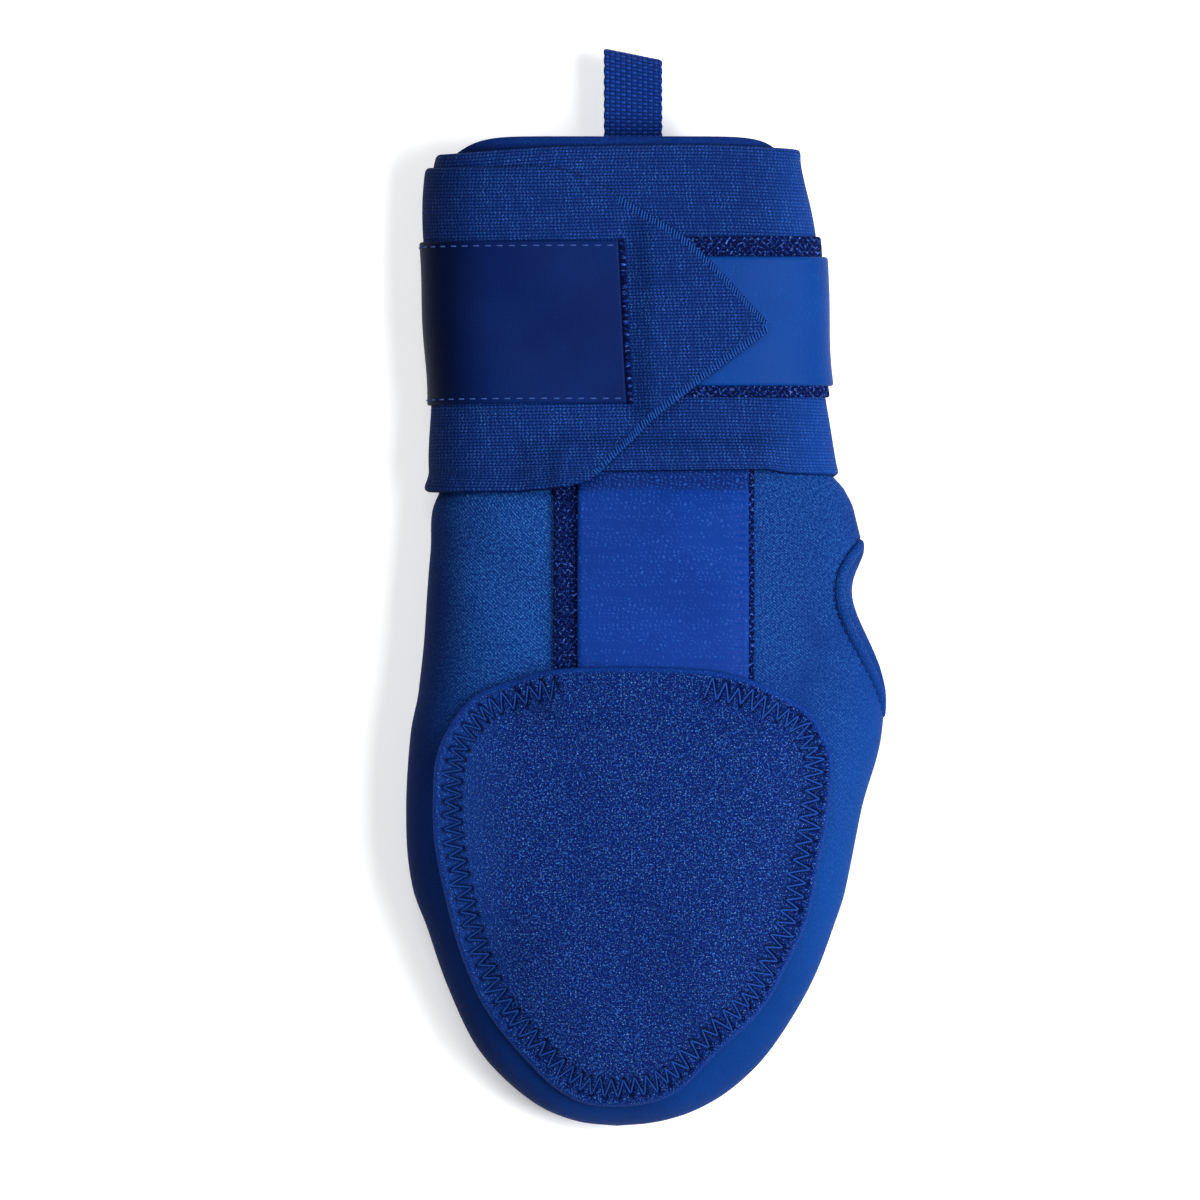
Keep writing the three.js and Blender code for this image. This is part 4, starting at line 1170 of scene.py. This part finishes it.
def wrap():
    run = spaced(WRAP_LONG, 0.95, WRAP_THICKNESS * EDGE_ROWS)
    cross = spaced(WRAP_WIDTH, 1.3, WRAP_THICKNESS * EDGE_ROWS) / WRAP_WIDTH * 2 - 1
    rr, cc = np.meshgrid(run, cross, indexing="ij")
    tt = np.interp(rr, WRAP_RUN, WRAP_TURNS)
    reach = wrap_reach(rr, cc)
    along = route_at(tt) * LENGTH + cc * reach
    edge = np.minimum((1 - np.abs(cc)) * reach, np.minimum(rr, WRAP_LONG - rr))
    lift = wrap_lift(tt, along)
    outer = on_turn(tt, along, lift + edge_profile(WRAP_THICKNESS, edge))
    uv = np.stack([rr, along - route_at(tt) * LENGTH], axis=2)
    return sheet_solid("cuff_wrap", outer, on_turn(tt, along, lift), uv, ELASTIC)


def wrap_overlock():
    """Thread wound slantwise over the wrap's pointed end."""
    paths = []
    pitch, slant, reach = 0.95, 0.9, 3.0
    t = np.linspace(0, 1, 8)
    arch = 0.28 * np.sin(np.pi * t) - 0.8 * (t < 0.05) - 0.3 * (t > 0.95)
    for side, end in ((1, 0.17), (-1, 0.22)):
        turns = np.linspace(WRAP_START, WRAP_START + end, 900)
        along = wrap_edge(turns, side)
        run = run_along(on_turn(turns, along, wrap_lift(turns, along) + WRAP_THICKNESS))
        for k in range(int((run[-1] - slant) / pitch)):
            at = np.interp(k * pitch + slant * t, run, turns)
            deep = reach * (1 + 0.12 * math.sin(k * 2.1))
            place = wrap_edge(at, side) - side * (0.1 + deep * t)
            paths.append(on_turn(at, place, wrap_lift(at, place) + WRAP_THICKNESS + arch))
    return threads("wrap_overlock", paths, EDGE_THREAD, radius=0.24, sides=5)


def wrap_piece(name, start, end, middle, height, under, thickness, material, step, wave=None):
    """A sheet round the wrap from one turn to another, and its length."""
    turns = np.linspace(start, end, 400)
    run = run_along(on_turn(turns, middle, under))

    def place(u, v, rise):
        return on_turn(np.interp(u, run, turns), middle - height / 2 + v, under + rise)

    return lay_sheet(name, run[-1], height, thickness, material, step, place, wave), run[-1]


def closure_rough(u, v, edge):
    rough = np.sin(u * 4.7 + 2.2 * np.sin(v * 3.1)) * np.sin(v * 5.3 + 2 * np.sin(u * 2.7))
    return 0.12 * rough * smooth(edge, 0, 0.8)


def label_stitches():
    """Running stitches along two sides of the patch, and the rough cord on its free edge."""
    low, high = LABEL_FROM_TIP - LABEL_HEIGHT / 2, LABEL_FROM_TIP + LABEL_HEIGHT / 2
    top = ON_SECOND + LABEL_THICKNESS
    turns = np.linspace(LABEL_START, 0.5 + LABEL_WRAP, 500)
    t = np.linspace(0, 1, 7)
    paths = []
    for along in (low + 1.5, high - 1.5):
        run = run_along(on_turn(turns, along, top))
        for k in range(int((run[-1] - 2) / LABEL_STITCH)):
            at = np.interp(1.6 + (k + 0.5 * t) * LABEL_STITCH, run, turns)
            paths.append(on_turn(at, along, top + 0.14 - 0.3 * np.abs(2 * t - 1) ** 5))
    along = np.linspace(low - 0.2, high + 0.2, 120)
    edge = turn_over_x(LABEL_EDGE_X + 1.1, LABEL_FROM_TIP)
    cord = on_turn(edge, along, ON_SECOND + 0.62 + 0.05 * np.sin(along * 4.5))
    return (
        threads("label_stitches", paths, LABEL_THREAD, radius=0.2),
        threads("label_piping", [cord], LOOP_PILE, radius=0.75, sides=10),
    )


# webbing loop
def webbing():
    """The folded strip that is sewn into the cuff's mouth, and its length."""
    step, columns, rib, pick, edge_round = 0.27, 64, 1.6, 1.1, 0.9
    _, _, middle, _, down = section(LENGTH)
    low_leg = float(middle - down) + CUFF_WALL + GAP + WEB_THICKNESS / 2
    # The upper leg lies on the lower one inside the mouth.
    resting = (WEB_THICKNESS + GAP) / WEB_SPREAD
    back_in = [(0.05, 0.66), (-0.35, resting), (-0.6, resting), (-1, resting)]
    p = np.array([
        (LENGTH + out * (WEB_SEWN if out < 0 else WEB_REACH), low_leg + rise * WEB_SPREAD)
        for out, rise in WEB_PATH + back_in
    ])
    ghost = np.vstack([2 * p[0] - p[1], p, 2 * p[-1] - p[-2]])
    fine = np.concatenate([*(bend(*ghost[i : i + 4], 20) for i in range(len(p) - 1)), p[-1:]])
    run = run_along(fine)
    steps = np.linspace(0, run[-1], int(run[-1] / step))
    line = np.stack([np.interp(steps, run, fine[:, k]) for k in range(2)], axis=1)
    way = unit(np.gradient(line, axis=0))
    ss, aa = np.meshgrid(steps, np.linspace(-WEB_WIDTH / 2, WEB_WIDTH / 2, columns), indexing="ij")
    cell = np.abs(np.sin(np.pi * aa / rib)) * np.abs(np.sin(np.pi * ss / pick))
    edge = WEB_WIDTH / 2 - np.abs(aa)
    thick = WEB_THICKNESS * (0.62 + 0.38 * np.clip(edge / edge_round, 0, 1) ** 0.5)
    skew = -WEB_SKEW * aa * smooth(line[:, :1], LENGTH, LENGTH + WEB_REACH)
    wobble = 0.12 * np.sin(ss * 2.1) * (np.abs(aa) > WEB_WIDTH / 2 - 0.3) * np.sign(aa)
    sides = []
    for sign in (0.5, -0.5):
        offset = sign * (thick - 0.18 + 0.18 * cell)
        along = line[:, :1] - way[:, 1:] * offset + skew
        z = line[:, 1:] + way[:, :1] * offset
        sides.append(np.stack([WEB_X + aa + wobble, along - ORIGIN_FROM_TIP, z], axis=2))
    uv = np.stack([aa + WEB_WIDTH / 2, ss], axis=2)
    return sheet_solid("web_loop", *sides, uv, WEAVE), run[-1]


# assembling
body = shell()
cut_thumb(body)
hem, thumb_stitch = thumb_ring()
pad = finger_pad()
zigzag = pad_stitches()
base = back_sheet(
    "strap_loop_base", BASE_CENTRE, BASE_WIDTH, BASE_TOP, GAP, BASE_THICKNESS, LOOP_PILE,
    step=0.42, wave=base_pile,
)
hand_strap = back_sheet(
    "hand_strap", STRAP_CENTRE, STRAP_WIDTH, STRAP_TOP, GAP + BASE_THICKNESS + GAP,
    STRAP_THICKNESS, STRAP, step=0.6, wave=strap_puff,
)
base_zigzag = base_stitches()
cuff = wrap()
overlock = wrap_overlock()
loop_tape, loop_long = wrap_piece(
    "closure_pile", -CLOSURE_WRAP, CLOSURE_END, LOOP_FROM_TIP, LOOP_HEIGHT, ON_FIRST,
    LOOP_THICKNESS, LOOP_PILE, step=0.42, wave=closure_rough,
)
tab, tab_long = wrap_piece(
    "closure_grip", -CLOSURE_WRAP, CLOSURE_END, TAB_FROM_TIP, TAB_HEIGHT,
    ON_FIRST + LOOP_THICKNESS + GAP, TAB_THICKNESS, TAB, step=0.7,
)
label, label_long = wrap_piece(
    "cuff_patch", LABEL_START, 0.5 + LABEL_WRAP, LABEL_FROM_TIP, LABEL_HEIGHT, ON_SECOND,
    LABEL_THICKNESS, SATIN, step=0.6,
)
stitches, piping = label_stitches()
web, web_long = webbing()

for piece, node, slot in (
    (body, "hand_shell", "shell"),
    (hem, "thumb_binding", "binding"),
    (pad, "finger_pad", "pad"),
    (base, "back_loop_base", "loop_tape"),
    (hand_strap, "back_strap", "strap"),
    (cuff, "wrist_wrap", "elastic"),
    (loop_tape, "closure_loop", "loop_tape"),
    (tab, "closure_tab", "tab"),
    (label, "label_patch", "label"),
    (web, "pull_loop", "webbing"),
):
    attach(piece, "root")
    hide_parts(node)

for piece, slot in (
    (thumb_stitch, "binding"),
    (zigzag, "pad"),
    (base_zigzag, "loop_tape"),
    (overlock, "elastic"),
    (stitches, "label"),
    (piping, "label"),
):
    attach(piece, "root")


# floor, light and camera
def plain(name, color, roughness, glow):
    m = Looks(name, roughness, specular=0.2)
    m.shader.inputs["Emission Color"].default_value = (1, 1, 1, 1)
    m.shader.inputs["Emission Strength"].default_value = glow
    low = (*(c * 0.985 for c in color[:3]), 1)
    return m.finish(m.mix(m.noise(60, 3.0), color, low))


# The floor lies a fifth of a millimetre below the mitt, so the two faces never meet.
FLOOR_SIZE, FLOOR_BELOW = 6, 0.0002
bpy.ops.mesh.primitive_plane_add(size=FLOOR_SIZE, location=(0, 0, -FLOOR_BELOW))
floor = bpy.context.object
floor.name = "floor"
floor.data.materials.append(plain("pale_floor", (0.93, 0.93, 0.93, 1), roughness=0.8, glow=0.3))


def area_light(name, place, aim, size, power):
    data = bpy.data.lights.new(name, "AREA")
    data.shape = "RECTANGLE"
    data.size, data.size_y = size
    data.energy = power
    light = bpy.data.objects.new(name, data)
    light.location = place
    light.rotation_euler = (Vector(aim) - Vector(place)).to_track_quat("-Z", "Y").to_euler()
    bpy.context.scene.collection.objects.link(light)


area_light("key", (0.62, -0.02, 0.76), (0.0, 0.04, 0.0), size=(0.6, 0.7), power=15.5)
area_light("top", (-0.35, 0.55, 1.25), (0.0, 0.05, 0.0), size=(0.7, 0.7), power=9)

world = bpy.data.worlds.new("soft_world")
world.use_nodes = True
sky = world.node_tree.nodes["Background"].inputs
sky["Color"].default_value = (0.9, 0.94, 1, 1)
sky["Strength"].default_value = 0.18
bpy.context.scene.world = world
bpy.context.scene.view_settings.view_transform = "Standard"

# The photograph looks straight down on the mitt and spans PHOTO_WIDTH at LEVEL over the floor.
PHOTO_WIDTH, LEVEL, CAMERA_AWAY, SENSOR_WIDTH = 0.3516, 0.02, 4.0, 36
camera_data = bpy.data.cameras.new("camera")
camera = bpy.data.objects.new("camera", camera_data)
camera.location = (-0.0135, 0.0544, CAMERA_AWAY + LEVEL)
camera_data.sensor_width = SENSOR_WIDTH
camera_data.lens = SENSOR_WIDTH * CAMERA_AWAY / PHOTO_WIDTH
bpy.context.scene.collection.objects.link(camera)
bpy.context.scene.camera = camera

bpy.context.view_layer.update()
